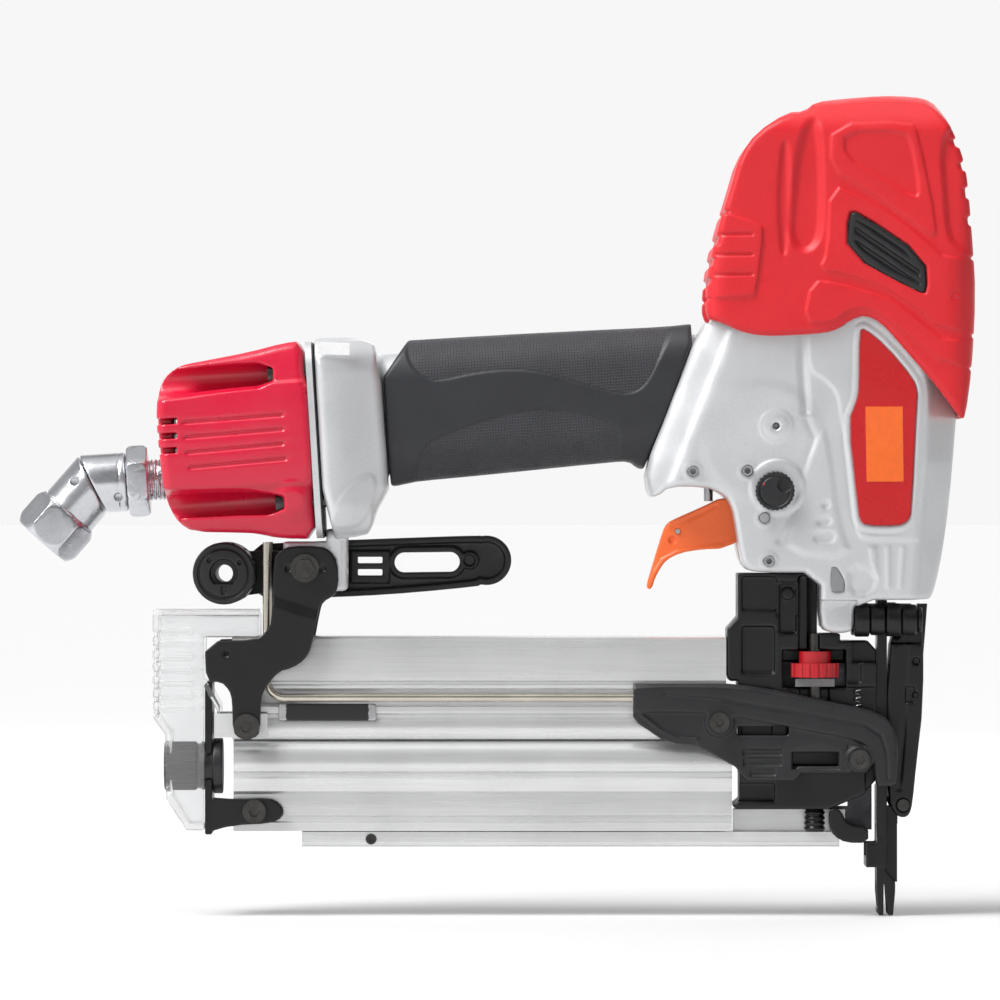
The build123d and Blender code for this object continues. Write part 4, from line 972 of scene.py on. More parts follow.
def make_grip():
    """The rubber sleeve, with two textured patches a little below the smooth band between them."""
    grid = Grid((-167.4, -18.6, 140.6), (-60.4, 18.6, 197.2), 0.5 * FINE)
    x, z = grid.x, grid.z
    patch = in_patches(x, z)
    bar = handle_bar(grid, 18, 49.4, 16, -175, -50)
    bar = bar + 0.1 + rise(patch, 0.45, 0.8) + rise(np.abs(patch) - 0.15, 0.35, 0.7)
    grip = meet(outline_field(x, z, GRIP_OUTLINE, 1), bar, 1.2)
    grip = carve(grip, handle_bar(grid, 14.1, 39.2, 12, -190, -50))
    piece = sculpt("grip_sleeve", grip, grid, 0.35)
    stand_in(piece, "handle_grip", RUBBER, RUBBER_GRID)
    paint_faces(piece, 1, lambda px, py, pz: (in_patches(px, pz) < -0.5) & (np.abs(py) > 2))


make_grip()


# ---- end cap and the ring behind it --------------------------------------------------------------
CAP_SIDE = [
    (-192.6, 190.1), (-198.8, 189.4), (-210.4, 186.3), (-225, 183.5), (-232.3, 182.1), (-236.6, 179.7),
    (-239.2, 176.2), (-240.2, 172), (-240.6, 164), (-239.7, 154), (-238.1, 140), (-236.3, 134.4),
    (-233.2, 129.9), (-228.6, 127.1), (-213, 126.8), (-207.9, 126.6), (-200, 124.9), (-188.2, 124.7),
    (-189.3, 141.6), (-188.0, 142.4), (-190.0, 175.4), (-191.6, 176.2),
]


def make_end_cap():
    """The red end cap: a hollow shell with grooves, vents and the scallops that the screws sit in."""
    grid = Grid((-241.2, -27.5, 124), (-187.4, 27.5, 190.8), 0.45 * FINE)
    x, y, z = grid.x, np.abs(grid.y), grid.z
    side = outline_field(x, z, CAP_SIDE, 1)
    upper = [(-203.4, 182), (-202.8, 175.7), (-219, 174.1), (-234.2, 171.8), (-246, 170.6), (-246, 177.5),
             (-237.3, 179.2), (-219, 181.5)]
    lower = [(-199.4, 139.9), (-199, 133.6), (-219, 133.2), (-235.4, 132.4), (-246, 133), (-246, 140.4),
             (-237, 140)]
    half = 26.8 + 0 * x * z
    tilt = 0.0647
    for start, end in (((-231.2, 163.1), (-199.1, 165.6)), ((-230.8, 158.2), (-198.8, 160.9)),
                       ((-230.2, 153.2), (-198.8, 156.1)), ((-229.2, 148.3), (-197.9, 151.2))):
        half = half - rise(line_field(x, z, [start, end], 1.1), 0.8, 1.0)
    middle = z - 158.5 - tilt * (x + 215)
    over = np.maximum(np.abs(middle) - 10, 0)
    half = half - 0.0011 * middle * middle - 0.0062 * over * over
    shoulder = rise(all_of(np.abs(middle) - 17.0, -9), 0.9, 1.6)
    half = half - 0.9 + shoulder
    half = half + rise(np.sqrt((x + 195.8) ** 2 + (z - 136.9) ** 2) - 5.5, 1.5, 5.0)
    for groove in (upper, lower):
        half = half - rise(outline_field(x, z, groove, 1), 6.4, 3.0)
    cap = meet(side, y - half, 3.0)
    block_z = np.abs(z - 157.4) - 33.2
    corner = np.sqrt(np.maximum(y - 27 + 10, 0) ** 2 + np.maximum(block_z + 10, 0) ** 2) - 10
    cap = all_of(cap, np.where((y > 17) & (block_z > -10), corner, -9))
    for level in (163.4, 158.6, 153.8):
        vent = all_of(np.abs(z - level - tilt * (x + 237)) - 0.95, x + 233.6)
        cap = cut(cap, all_of(vent, 13 - y), 0.5)
    for offset in (-11, -6.5, 6.5, 11):
        rear_vent = all_of(np.abs(grid.y - offset) - 1.0, x + 234.5, np.abs(z - 168) - 8)
        cap = cut(cap, rear_vent, 0.5)
    u = along_lean(x, z, CAP_MIDDLE)
    v = across_lean(x, z, CAP_MIDDLE)
    hollow = all_of(np.abs(v) - 16.5, y - 14.5, -u - 21)
    cap = carve(cap, hollow)
    v_plug = across_lean(x, z, PLUG_START)
    cap = carve(cap, np.sqrt(v_plug * v_plug + grid.y * grid.y) - 7.2)
    for centre in CAP_SCREWS:
        bore = np.sqrt(across_lean(x, z, centre) ** 2 + (y - SCREW_SIDE) ** 2)
        cap = carve(cap, bore - 2.5)
        cap = carve(cap, all_of(bore - 4.6, x - centre[0] - 4.1))
    behind = all_of(-(x + RING_START - (190 - z) * RING_LEAN), y - 26.0)
    cap = carve(cap, behind)
    piece = sculpt("end_cap_shell", cap, grid, 0.3)
    stand_in(piece, "end_cap", CRIMSON)


def ring_points(half_y, z_low, z_high, corner, inset=0.0):
    """A rounded rectangle in Y and Z, as a list of points."""
    points = []
    centres = ((half_y - corner, z_high - corner, 0), (-half_y + corner, z_high - corner, 90),
               (-half_y + corner, z_low + corner, 180), (half_y - corner, z_low + corner, 270))
    for cy, cz, start in centres:
        for step in range(9):
            turn = math.radians(start + step * 11.25)
            points.append((cy + (corner - inset) * math.cos(turn), cz + (corner - inset) * math.sin(turn)))
    return points


def leaning_band(name, start, end, half_y, z_low, z_high, hollow):
    """A closed band between two leaning planes, with a straight hole through it."""
    rings = []
    for offset, outline in ((start, half_y), (end, half_y), (end, None), (start, None)):
        loop = hollow if outline is None else ring_points(half_y, z_low, z_high, 10)
        rings.append([(offset - RING_START + (190 - z) * RING_LEAN, y, z) for y, z in loop])
    count = len(rings[0])
    points = [point for ring in rings for point in ring]
    faces = []
    for first, second in ((0, 1), (1, 2), (2, 3), (3, 0)):
        for i in range(count):
            j = (i + 1) % count
            faces.append((first * count + i, first * count + j, second * count + j, second * count + i))
    return shade(mesh_piece(name, points, faces, outward=True), 35)


def make_cap_ring():
    """The metal ring between the cap and the casting, with a dark seal at its back edge."""
    hollow = ring_points(9.5, 150.5, 178.5, 8)
    metal = leaning_band("cap_ring", 0.1, 2.15, 25.8, 125.0, 189.9, hollow)
    stand_in(metal, "end_cap_gasket", SILVER)
    seal = leaning_band("cap_seal", 2.15, 2.75, 25.2, 125.4, 189.5, hollow)
    stand_in(seal, "end_cap_gasket", BLACK)


def make_sticker():
    """A blank paper sticker on the side of the rear casting."""
    points = [(-187.4, -26.85, 185.6), (-176.9, -26.85, 185.2), (-176.8, -26.85, 189.2),
              (-187.1, -26.85, 189.6)]
    front = [(x, y - 0.12, z) for x, y, z in points]
    faces = [(0, 1, 2, 3), (7, 6, 5, 4), (0, 4, 5, 1), (1, 5, 6, 2), (2, 6, 7, 3), (3, 7, 4, 0)]
    piece = mesh_piece("blank_sticker", points + front, faces)
    finish_piece(piece, "housing", [PAPER])


make_end_cap()
make_cap_ring()


# ---- swivel air plug -----------------------------------------------------------------------------
MITRE = (PLUG_START[0] - 24.6 * LEAN_COS, PLUG_START[1] - 24.6 * LEAN_SIN)


def axis_frame(grid, start, angle):
    """Distance along an axis that runs back and down, and the two distances across it."""
    turn = math.radians(angle)
    dx, dz = grid.x - start[0], grid.z - start[1]
    return -dx * math.cos(turn) - dz * math.sin(turn), -dx * math.sin(turn) + dz * math.cos(turn), grid.y


def hex_bar(a, b, flats):
    """Distance to the sides of a hexagonal bar, from the two distances across it."""
    third = math.radians(60)
    sides = [np.abs(a * math.cos(k * third) + b * math.sin(k * third)) for k in range(3)]
    return all_of(sides[0], sides[1], sides[2]) - flats / 2


def make_swivel():
    """The chromed plug: threaded nipple with its hexagon, the elbow and the arm that turns on its mitre."""
    step = 0.3 * FINE
    grid = Grid((-257.5, -12.4, 130), (-224, 12.4, 158), step)
    t, a, b = axis_frame(grid, PLUG_START, HANDLE_LEAN)
    r = np.sqrt(a * a + b * b)
    thread = np.abs((t / 1.35 + np.arctan2(b, a) / (2 * math.pi)) % 1.0 - 0.5) * 2
    rod = meet(r - 7.0 + 0.75 * thread * (t < 6) * (t > -1), between(t, -12, 18.4), 0.3)
    nut = meet(hex_bar(b, a, 20.6), between(t, 6, 13), 0.4)
    nut = meet(nut, r + 0.6 * np.abs(t - 9.5) - 13.2, 0.4)
    nipple = all_of(any_of(rod, nut), 3.5 - r)
    stand_in(shade(sculpt("plug_nipple", nipple, grid, 0.4), 38), "swivel_nipple", CHROME)
    grid = Grid((-272, -10.4, 128), (-249.5, 10.4, 156), step)
    t, a, b = axis_frame(grid, PLUG_START, HANDLE_LEAN)
    r = np.sqrt(a * a + b * b)
    m, ma, mb = axis_frame(grid, MITRE, 26.2)
    elbow = meet(r - 9.8 + rise(np.abs(t - 15.6) - 0.1, 0.35, 0.6), all_of(13.3 - t, m + 0.05), 0.7)
    socket = np.sqrt(ma * ma + mb * mb) - 6.05
    elbow = carve(elbow, all_of(socket, -m - 3.3))
    elbow = carve(elbow, all_of(r - 3.5, t - 22))
    screw = np.sqrt((grid.x + 253.8) ** 2 + (grid.z - 138.6) ** 2) - 1.3
    elbow = cut(elbow, all_of(screw, grid.y + 5.8), 0.3)
    stand_in(sculpt("plug_elbow_shell", elbow, grid, 0.4), "swivel_elbow", CHROME)
    grid = Grid((-287.5, -12.2, 112), (-257, 12.2, 154.5), step)
    t, a, b = axis_frame(grid, MITRE, 48.7)
    r = np.sqrt(a * a + b * b)
    m, ma, mb = axis_frame(grid, MITRE, 26.2)
    arm = meet(r - 9.8, all_of(0.25 - m, t - 13.4), 0.7)
    nut = meet(hex_bar(b, a, 20.4), between(t, 12, 25.5), 0.4)
    nut = meet(nut, r + 0.55 * np.abs(t - 18.7) - 14.0, 0.4)
    nut = nut + rise(np.abs(t - 12.6) - 0.1, 0.4, 0.5)
    stub = all_of(np.sqrt(ma * ma + mb * mb) - 6.0, between(m, -3.0, 1.5))
    arm = any_of(arm, nut, stub)
    ridge = np.abs((t / 1.2) % 1.0 - 0.5) * 0.8
    arm = carve(arm, all_of(r - 5.7 - ridge * (t > 13), 12.5 - t))
    arm = carve(arm, all_of(r - 3.2, -t))
    arm = carve(arm, all_of(np.sqrt(ma * ma + mb * mb) - 3.2, np.abs(m) - 4))
    screw = np.sqrt((grid.x + 268.4) ** 2 + (grid.z - 143.6) ** 2) - 1.3
    arm = cut(arm, all_of(screw, grid.y + 5.8), 0.3)
    stand_in(shade(sculpt("plug_arm_shell", arm, grid, 0.4), 38), "swivel_arm", CHROME)


make_swivel()


# ---- trigger and mode knob -----------------------------------------------------------------------
TRIGGER_OUTLINE = [
    (-36.5, 131.7), (-37.3, 135.2), (-40.5, 136.2), (-47, 137.6), (-53.6, 138.6), (-59.6, 135.6),
    (-69.4, 131.3), (-71.9, 129.9), (-73.3, 127.4), (-76.2, 118), (-78.7, 109.6), (-78.5, 108.1),
    (-77.1, 108.1), (-76, 111.7), (-74.1, 115.2), (-72.1, 117.8), (-67.5, 120.1), (-60.9, 121.2),
    (-52.5, 121.5), (-43, 127.5), (-40, 127.3), (-37.3, 128.6),
]


def make_trigger():
    """The pressed trigger: two cheeks joined along the finger side, open above for the lever."""
    grid = Grid((-79.2, -6.4, 107.6), (-35.8, 6.4, 139.2), 0.3 * FINE)
    x, y, z = grid.x, np.abs(grid.y), grid.z
    outline = outline_field(x, z, TRIGGER_OUTLINE, 1)
    finger = line_field(x, z, [(-77.6, 108), (-75.2, 112.8), (-72.6, 117), (-67.8, 119.4), (-61, 120.6),
                               (-52.3, 121.2), (-43.6, 127)], 3.4)
    half = 5.3 + rise(finger, 0.6, 1.2) + rise(disc(x, z, TRIGGER_PIVOT, 3.9), 0.6, 0.8)
    half = half + rise(line_field(x, z, [(-70, 128.6), (-56, 135.6)], 1.4), -0.4, 1.2)
    shape = meet(outline, y - half, 0.7)
    channel = all_of(between(x, -72, -46), 124.5 - z, y - 2.6)
    shape = cut(shape, channel, 0.4)
    for centre, radius in ((TRIGGER_PIVOT, 1.65), ((-68.5, 127.2), 0.85)):
        shape = carve(shape, disc(x, z, centre, radius) + 0 * y)
    shape = cut(shape, all_of(disc(x, z, (-70.2, 124.3), 1.35), 4.6 - y), 0.25)
    stand_in(sculpt("trigger_shell", shape, grid, 0.4), "trigger", ORANGE)


def on_knob_mark(x, y, z):
    """Whether a face lies in the small red mark on the front of the selector."""
    return (np.abs(x + 40.4) < 0.5) & (np.abs(z - 142.4) < 0.9) & (y < -31.2)


def make_mode_knob():
    """The round selector with a ribbed edge, a grip dimple and a small red mark."""
    grid = Grid((-44.6, -32.4, 133.2), (-29.6, -19.6, 148.2), 0.22 * FINE)
    x, y, z = grid.x, grid.y, grid.z
    a, b = x - KNOB_CENTRE[0], z - KNOB_CENTRE[1]
    r = np.sqrt(a * a + b * b)
    ribs = 0.14 * np.cos(np.arctan2(b, a) * 26)
    head = meet(r - 6.4 - ribs, between(y, -32.0, -28.35), 0.5)
    head = cut(head, all_of(r - 5.2, y + 31.6) + 0 * z, 0.2)
    raised = meet(all_of(disc(x, z, KNOB_CENTRE, 4.6), -31.9 - y), y + 30, 0.4)
    head = any_of(head, raised)
    head = cut(head, all_of(disc(x, z, (-33.9, 142.6), 2.3), y + 30.9), 0.3)
    stem = all_of(r - 2.9, between(y, -30, -20))
    piece = sculpt("mode_knob_head", any_of(head, stem), grid, 0.4)
    stand_in(piece, "mode_knob", BLACK, DIAL_RED)
    paint_faces(piece, 1, on_knob_mark)


make_trigger()
make_mode_knob()


# ---- nose ----------------------------------------------------------------------------------------
NOSE_OUTLINE = [
    (-48.8, 113.4), (-22.4, 113.4), (-22.4, 93.4), (-14.9, 93.4), (-14.9, 91), (-5.6, 91), (-2.8, 88),
    (-2.8, 45), (-7.5, 40), (-18.6, 35.3), (-28.7, 35.3), (-49.8, 35.3), (-50.2, 37), (-48.2, 38.6),
    (-48.2, 46.2), (-48.8, 58), (-48.8, 77.7), (-51.5, 77.7), (-52.3, 80), (-52.3, 95), (-48.8, 99),
]


def block_field(grid, low, high):
    """A plain block, cut off square."""
    sides = [between(axis, a, b) for a, b, axis in zip(low, high, (grid.x, grid.y, grid.z))]
    return all_of(sides[0], sides[1], sides[2])


def make_nose_block():
    """The dark nose block, panelled on both sides, with the room that the moving parts need."""
    grid = Grid((-52.8, -12.9, 34.8), (-2.4, 12.9, 113.8), 0.4 * FINE)
    x, y, z = grid.x, np.abs(grid.y), grid.z
    outline = outline_field(x, z, NOSE_OUTLINE)
    half = 12.4 + 0 * x * z
    for low, high, depth in (((-47.4, 101), (-36, 112.4), 1.2), ((-47.4, 80.2), (-36.6, 95.8), 1.2),
                             ((-35, 93.6), (-29.4, 110), 2.0), ((-28.6, 86), (-23.4, 112.6), 2.6),
                             ((-13.6, 77), (-8, 89.6), 0.8), ((-47.6, 58), (-37.5, 75), 0.9)):
        panel = all_of(between(x, low[0], high[0]), between(z, low[1], high[1]))
        corner = meet(between(x, low[0], high[0]), between(z, low[1], high[1]), 1.0)
        half = half - rise(all_of(panel, corner), depth, 0.7)
    half = half + rise(disc(x, z, (-32.2, 106.6), 1.9), 1.4, 0.6)
    shape = meet(outline, y - half, 0.8)
    shape = carve(shape, all_of(y - 2.0, between(z, 10, 84)))
    for low, high in (((-32, -14, 50), (0, -8.8, 75.6)), ((-6.6, -14, 36), (0, -8.8, 75.6)),
                      ((-28, -14, 60), (-18.4, -6.4, 75.6)), ((-34, -20, 75.6), (-13, 1, 88)),
                      ((-52, -20, 38), (-36.5, -9, 44)), ((-29.9, -12.9, 75.7), (-16.6, -3.8, 78.7)),
                      ((-36, -20, 99.5), (-28, -11.2, 110.5))):
        shape = cut(shape, block_field(grid, low, high), 0.3)
    shape = carve(shape, all_of(7.2 - y, -10.8 - x, 84 - z))
    spindle = np.sqrt((x + 23.2) ** 2 + (grid.y + 10) ** 2) - 2.5
    shape = carve(shape, all_of(spindle, 86 - z))
    rod = disc(y, z, ROD_AXIS, ROD_HOLE)
    shape = carve(shape, all_of(rod, x + 46.9))
    for centre in COVER_SCREWS:
        shape = carve(shape, all_of(disc(x, z, centre, COVER_SCREW_HOLE), grid.y + 3))
    piece = sculpt("nose_body", shape, grid, 0.35)
    stand_in(piece, "nose_block", BLACK_STEEL_AND_SHADE)


LEVER_OUTLINE = [
    (-83.4, 77), (-52.3, 77), (-44, 76.2), (-35.4, 74.7), (-5.3, 68.4), (0, 65.8), (2.6, 62.6),
    (4.0, 58.5), (4.1, 54.5), (3.3, 44), (1.7, 43.2), (-3, 43.2), (-4.3, 50.3), (-6, 47.5), (-28, 47.5),
    (-30, 45), (-46, 45), (-49.8, 49.5), (-57.4, 53.8), (-62.4, 56.6), (-69.1, 57.1), (-74.3, 58.7),
    (-81.8, 63.8), (-83.5, 66),
]
RIM_OUTLINE = [
    (-44, 73), (-35.6, 72.2), (-6, 66.0), (-1, 63.5), (1.5, 59.8), (1.9, 54.5), (1.2, 44.5), (-2.2, 44.5),
    (-3.4, 54), (-12.5, 57.5), (-13, 49.5), (-29, 49.5), (-31, 47), (-44, 47),
]
RIB_BAND = [
    (-90, 76.4), (-50.6, 76.4), (-35.5, 73.9), (-10.2, 69.7), (-4.3, 68.4), (1.6, 65.5), (3.7, 58.7),
    (4.1, 40), (-2.6, 40), (-3.6, 50), (-5, 54.6), (-7.7, 57.4), (-13.6, 59.4), (-25.4, 61.4),
    (-39.7, 64.2), (-54.8, 66.9), (-66, 67.6), (-90, 67.6),
]


def make_lever_cover():
    """The moulded cover over the contact lever, with its S-shaped rib, slots and screw bosses."""
    grid = Grid((-83.9, -17.8, 42.9), (4.5, -11.7, 77.3), 0.34 * FINE)
    x, y, z = grid.x, grid.y, grid.z
    outline = outline_field(x, z, LEVER_OUTLINE)
    face = 16.3 + 0 * x * z
    band = outline_field(x, z, RIB_BAND, 2)
    face = face + rise(band, 1.1, 1.4)
    crest = line_field(x, z, [(-73, 73.6), (-54, 71.8), (-27, 67.2), (-6.8, 63.4), (-1.6, 60), (0.3, 54),
                              (0.6, 46)], 0.7)
    face = face - rise(crest, 0.45, 0.9)
    face = face + rise(line_field(x, z, [(-80.6, 66.6), (-74, 61.4), (-68.4, 58.8), (-62.4, 58.4)], 1.0),
                       0.5, 0.9)
    for low, high, depth in (((-47.2, 53.3), (-34.4, 55.2), 0.8), ((-47, 49.9), (-34.4, 52.5), 0.8),
                             ((-44.7, 46.6), (-36.4, 48.8), 0.6), ((-31.0, 48.6), (-15.4, 54.4), 0.9),
                             ((-12.6, 49.2), (-11.4, 56.6), 0.7)):
        panel = all_of(between(x, low[0], high[0]), between(z, low[1], high[1]))
        face = face - rise(panel, depth, 0.6)
    for centre, radius in zip(COVER_SCREWS, (4.9, 4.5)):
        boss = disc(x, z, centre, radius)
        face = np.where(boss < 1.2, np.maximum(face, 16.2) + rise(boss, 1.0, 0.7), face)
    plate = meet(meet(outline, -y - np.minimum(face, 17.45), 0.55), y + 15.2, 0.2)
    rim = all_of(outline, -outline_field(x, z, RIM_OUTLINE), between(y, -15.6, -12.7))
    rim = all_of(rim, -46 - x)
    boss = all_of(disc(x, z, COVER_SCREWS[0], 4.6), between(y, -15.6, -12.05))
    shape = any_of(plate, rim, boss)
    slot = meet(between(x, -49.2, -32.1), between(z, 59.9, 62.9), 0.8) + 0 * y
    shape = cut(shape, slot, 0.3)
    for centre in COVER_SCREWS:
        shape = carve(shape, disc(x, z, centre, COVER_SCREW_HOLE) + 0 * y)
    rod = disc(-y, z, ROD_AXIS, ROD_HOLE)
    shape = carve(shape, all_of(rod, x + 46.9))
    piece = sculpt("lever_cover_shell", shape, grid, 0.35)
    stand_in(piece, "lever_cover", BLACK)


DOOR_OUTLINE = [
    (0.8, 38.6), (3.4, 33.4), (6.1, 32.3), (8.2, 33.4), (9.2, 37), (10.6, 51), (12.8, 70), (12.8, 102.4),
    (5.5, 102.4), (0.8, 86),
]


def make_door():
    """The hinged nose door: a forged plate with ears at its foot and a channel for the latch."""
    grid = Grid((0.5, -9.8, 31.8), (13.2, 9.8, 102.8), 0.34 * FINE)
    x, y, z = grid.x, np.abs(grid.y), grid.z
    half = 9.4 - rise(line_field(x, z, [(7.4, 96), (6.2, 60), (4.6, 42)], 1.4), 0.35, 1.0)
    half = half - rise(all_of(between(x, 6.9, 9.9), between(z, 70.6, 75.8)), 0.8, 0.5)
    half = half - rise(disc(x, z, (10.4, 84.2), 1.2), 1.0, 0.5) - rise(disc(x, z, (4.0, 93), 1.1), 0.9, 0.5)
    half = half - np.where(z > 90, 2.0, 0.0)
    shape = meet(outline_field(x, z, DOOR_OUTLINE, 1), y - half, 0.9)
    shape = carve(shape, all_of(6.4 - x, y - 4.6, 66.8 - z))
    slope = (x - 7.2) * 0.995 - (z - 52) * 0.0995
    shape = cut(shape, all_of(-slope, y - 4.6, 52 - z), 0.3)
    shape = carve(shape, all_of(y - 7.5, z - 39.2))
    shape = carve(shape, disc(x, z, (6.1, 36.6), 2.1) + 0 * y)
    shape = carve(shape, disc(x, z, (10.2, 73), 0.9) + 0 * y)
    stand_in(sculpt("door_plate", shape, grid, 0.4), "nose_door", BLACK_STEEL_AND_SHADE)


def make_collars():
    """The ringed fixings on both sides of the casting's lower lug, with their bolts."""
    grid = Grid((-10.7, -19.5, 92.1), (12.6, -7.7, 103.9), 0.3 * FINE)
    x, y, z = grid.x, grid.y, grid.z
    r = disc(-y, z, COLLAR_AXIS, 0)
    shape = np.full(np.broadcast_shapes(x.shape, y.shape, z.shape), 9, np.float32)
    for index, radius in enumerate((5.6, 5.1, 5.5, 5.1)):
        start = -10.3 + index * 5.2
        shape = any_of(shape, meet(r - radius, all_of(start - x, x - start - 4.9), 0.6))
    core = all_of(r - 3.6, between(x, -10, 10.4))
    shape = any_of(shape, core)
    shape = any_of(shape, meet(r - 4.2, between(x, 10.5, 12.1), 0.5))
    shape = cut(shape, all_of(hex_bar(y + COLLAR_AXIS[0], z - COLLAR_AXIS[1], 4.0), 11.2 - x), 0.2)
    near = sculpt("near_collars", shape, grid, 0.4)
    far = flip(sculpt("far_collars", shape, grid, 0.4))
    for piece in (near, far):
        stand_in(piece, "clamp_collars", BLACK_STEEL_AND_SHADE)


def flip(piece):
    """Mirror a piece through the middle plane and turn its faces back out."""
    shape = bmesh.new()
    shape.from_mesh(piece.data)
    for vertex in shape.verts:
        vertex.co.y = -vertex.co.y
    bmesh.ops.reverse_faces(shape, faces=shape.faces)
    shape.to_mesh(piece.data)
    shape.free()
    return piece


FOOT_SIDE = [
    (-2.6, 43), (-2.6, 8), (-1.9, 0), (-0.3, 0), (-0.2, 10.5), (0.4, 10.5), (1.1, 0), (2.9, 0), (3.6, 8),
    (3.6, 11), (0.4, 15), (0.4, 43),
]


def make_foot():
    """The contact foot: two stepped side plates joined behind the guides, with forked tips."""
    grid = Grid((-6.5, -9.5, 0), (4.0, 9.5, 43.3), 0.26 * FINE)
    x, y, z = grid.x, np.abs(grid.y), grid.z
    side = outline_field(x, z, FOOT_SIDE)
    upper = meet(all_of(side, 16 - z), between(y, 7.5, 9.2), 0.3)
    lower = meet(all_of(side, z - 19.4), between(y, 4.7, 6.4), 0.3)
    step = block_field(grid, (-6.2, -99, 16), (0.4, 99, 19.4))
    step = all_of(step, between(y, 4.7, 9.2))
    step = all_of(step, x - 0.4)
    back = all_of(between(x, -6.2, -3.1), between(z, 16, 19.4), y - 9.2)
    ear = all_of(between(x, -6.2, -2.0), between(z, 16, 24), between(y, 7.5, 9.2))
    tip = all_of(between(x, -2.4, -1.0), between(z, 0.6, 2.6), y - 5)
    shape = any_of(upper, lower, step, back, ear, tip)
    piece = sculpt("foot_plates", all_of(shape, 0.02 - z), grid, 0.4)
    stand_in(piece, "contact_foot", BLACK_STEEL_AND_SHADE)


def make_support():
    """The J-shaped arm under the nose and the two spacers behind it."""
    outline = [(-18.6, 35.2), (-16.5, 35.9), (-14.4, 34.6), (-13, 31.2), (-10.2, 29.7), (-5.6, 29.7),
               (-5.6, 24.2), (-12.9, 24.2), (-17.0, 26.4), (-18.6, 30)]
    grid = Grid((-19, -12.9, 23.9), (-5.2, -9.2, 36.2), 0.24 * FINE)
    arm = meet(outline_field(grid.x, grid.z, outline, 1), between(grid.y, -12.5, -9.6), 0.6)
    stand_in(sculpt("nose_arm", arm, grid, 0.4), "nose_support", BLACK_STEEL_AND_SHADE)
    low = Grid((-27.2, -11.9, 27.5), (-19.2, 11.9, 35.6), 0.3 * FINE)
    y = np.abs(low.y)
    r = np.sqrt((low.x + 23.2) ** 2 + (y - 7.9) ** 2)
    turns = 0.35 * np.cos(low.z * 2 * math.pi / 1.7)
    posts = all_of(r - 3.2 - turns, between(low.z, 27.75, 35.25))
    stand_in(sculpt("nose_posts", posts, low, 0.4), "nose_support", BLACK_STEEL_AND_SHADE)


make_nose_block()
make_lever_cover()
make_door()
make_collars()
make_foot()
make_support()


# ---- magazine ------------------------------------------------------------------------------------
def run_mesh(name, profile, x_low, x_high):
    """A Y and Z profile run along X, with flat ends."""
    count = len(profile)
    points = [(x, y, z) for x in (x_low, x_high) for y, z in profile]
    faces = [(i, (i + 1) % count, count + (i + 1) % count, count + i) for i in range(count)]
    faces += [tuple(reversed(range(count))), tuple(range(count, 2 * count))]
    return shade(mesh_piece(name, points, faces, outward=True), 28)


RAIL_NEAR = [
    (-2, 58.4), (-10.2, 58.4), (-11.2, 59.2), (-11.8, 60.2), (-12, 61.2), (-12, 64.4), (-11.7, 65.0),
    (-10.9, 65.6), (-10.9, 66.6), (-11.7, 67.1), (-12, 67.6), (-12, 69.2), (-11.4, 69.8), (-10.0, 70.4),
    (-9.8, 71), (-9.8, 74.2), (-10.4, 74.9), (-12, 75.3), (-12, 76.2), (-11.1, 76.7), (-11.1, 77.4),
    (-12, 77.9), (-12, 91), (-11.8, 91.7), (-11.2, 92.2), (-10.4, 92.4),
]
RAIL_FAR = [
    (10.4, 92.4), (11, 92.3), (11.7, 91.8), (12, 91), (12, 78), (11.3, 77.5), (11.3, 76.8), (12, 76.2),
    (12, 75.2), (11.3, 74), (11.3, 71), (12, 69.6), (12, 59.4), (11.4, 58.8), (11.4, 57.8), (12, 57.2),
    (12, 47), (11.5, 46.4), (11.5, 45.4), (12, 44.8), (12, 34), (11.5, 33.4), (11.5, 32.4), (12, 31.8),
    (12, 30), (10, 27.7), (2, 27.7), (2, 84), (-2, 84),
]
COVER_NEAR = [
    (-2.2, 28), (-9, 28), (-9, 30.8), (-8.3, 31.2), (-8.3, 32.8), (-9, 33.2), (-9, 40.2), (-9.6, 40.5),
    (-11.4, 40.8), (-12.2, 41.3), (-12.5, 42.2), (-12.5, 44), (-12.7, 44.6), (-12.7, 45.6), (-12.0, 46.1),
    (-12.0, 47.4), (-12.6, 47.9), (-12.9, 48.8), (-13, 50.4), (-12.9, 52), (-12.6, 53.5), (-12.0, 55),
    (-11.2, 56.2), (-10.4, 57), (-10.2, 57.6), (-9.2, 58.1), (-2.2, 58.1),
]


def punch(piece, low, high):
    """Cut a block, given in millimetres, out of a piece."""
    size = [(b - a) * MM for a, b in zip(low, high)]
    middle = [(a + b) / 2 * MM for a, b in zip(low, high)]
    mesh = bpy.data.meshes.new("punch")
    shape = bmesh.new()
    bmesh.ops.create_cube(shape, size=1)
    bmesh.ops.scale(shape, vec=size, verts=shape.verts)
    bmesh.ops.translate(shape, vec=middle, verts=shape.verts)
    shape.to_mesh(mesh)
    shape.free()
    tool = show("punch", mesh)
    cutter = piece.modifiers.new("cut", "BOOLEAN")
    cutter.operation = "DIFFERENCE"
    cutter.solver = "EXACT"
    cutter.object = tool
    apply_modifiers(piece)
    bpy.data.objects.remove(tool)
    bpy.data.meshes.remove(mesh)
    return piece


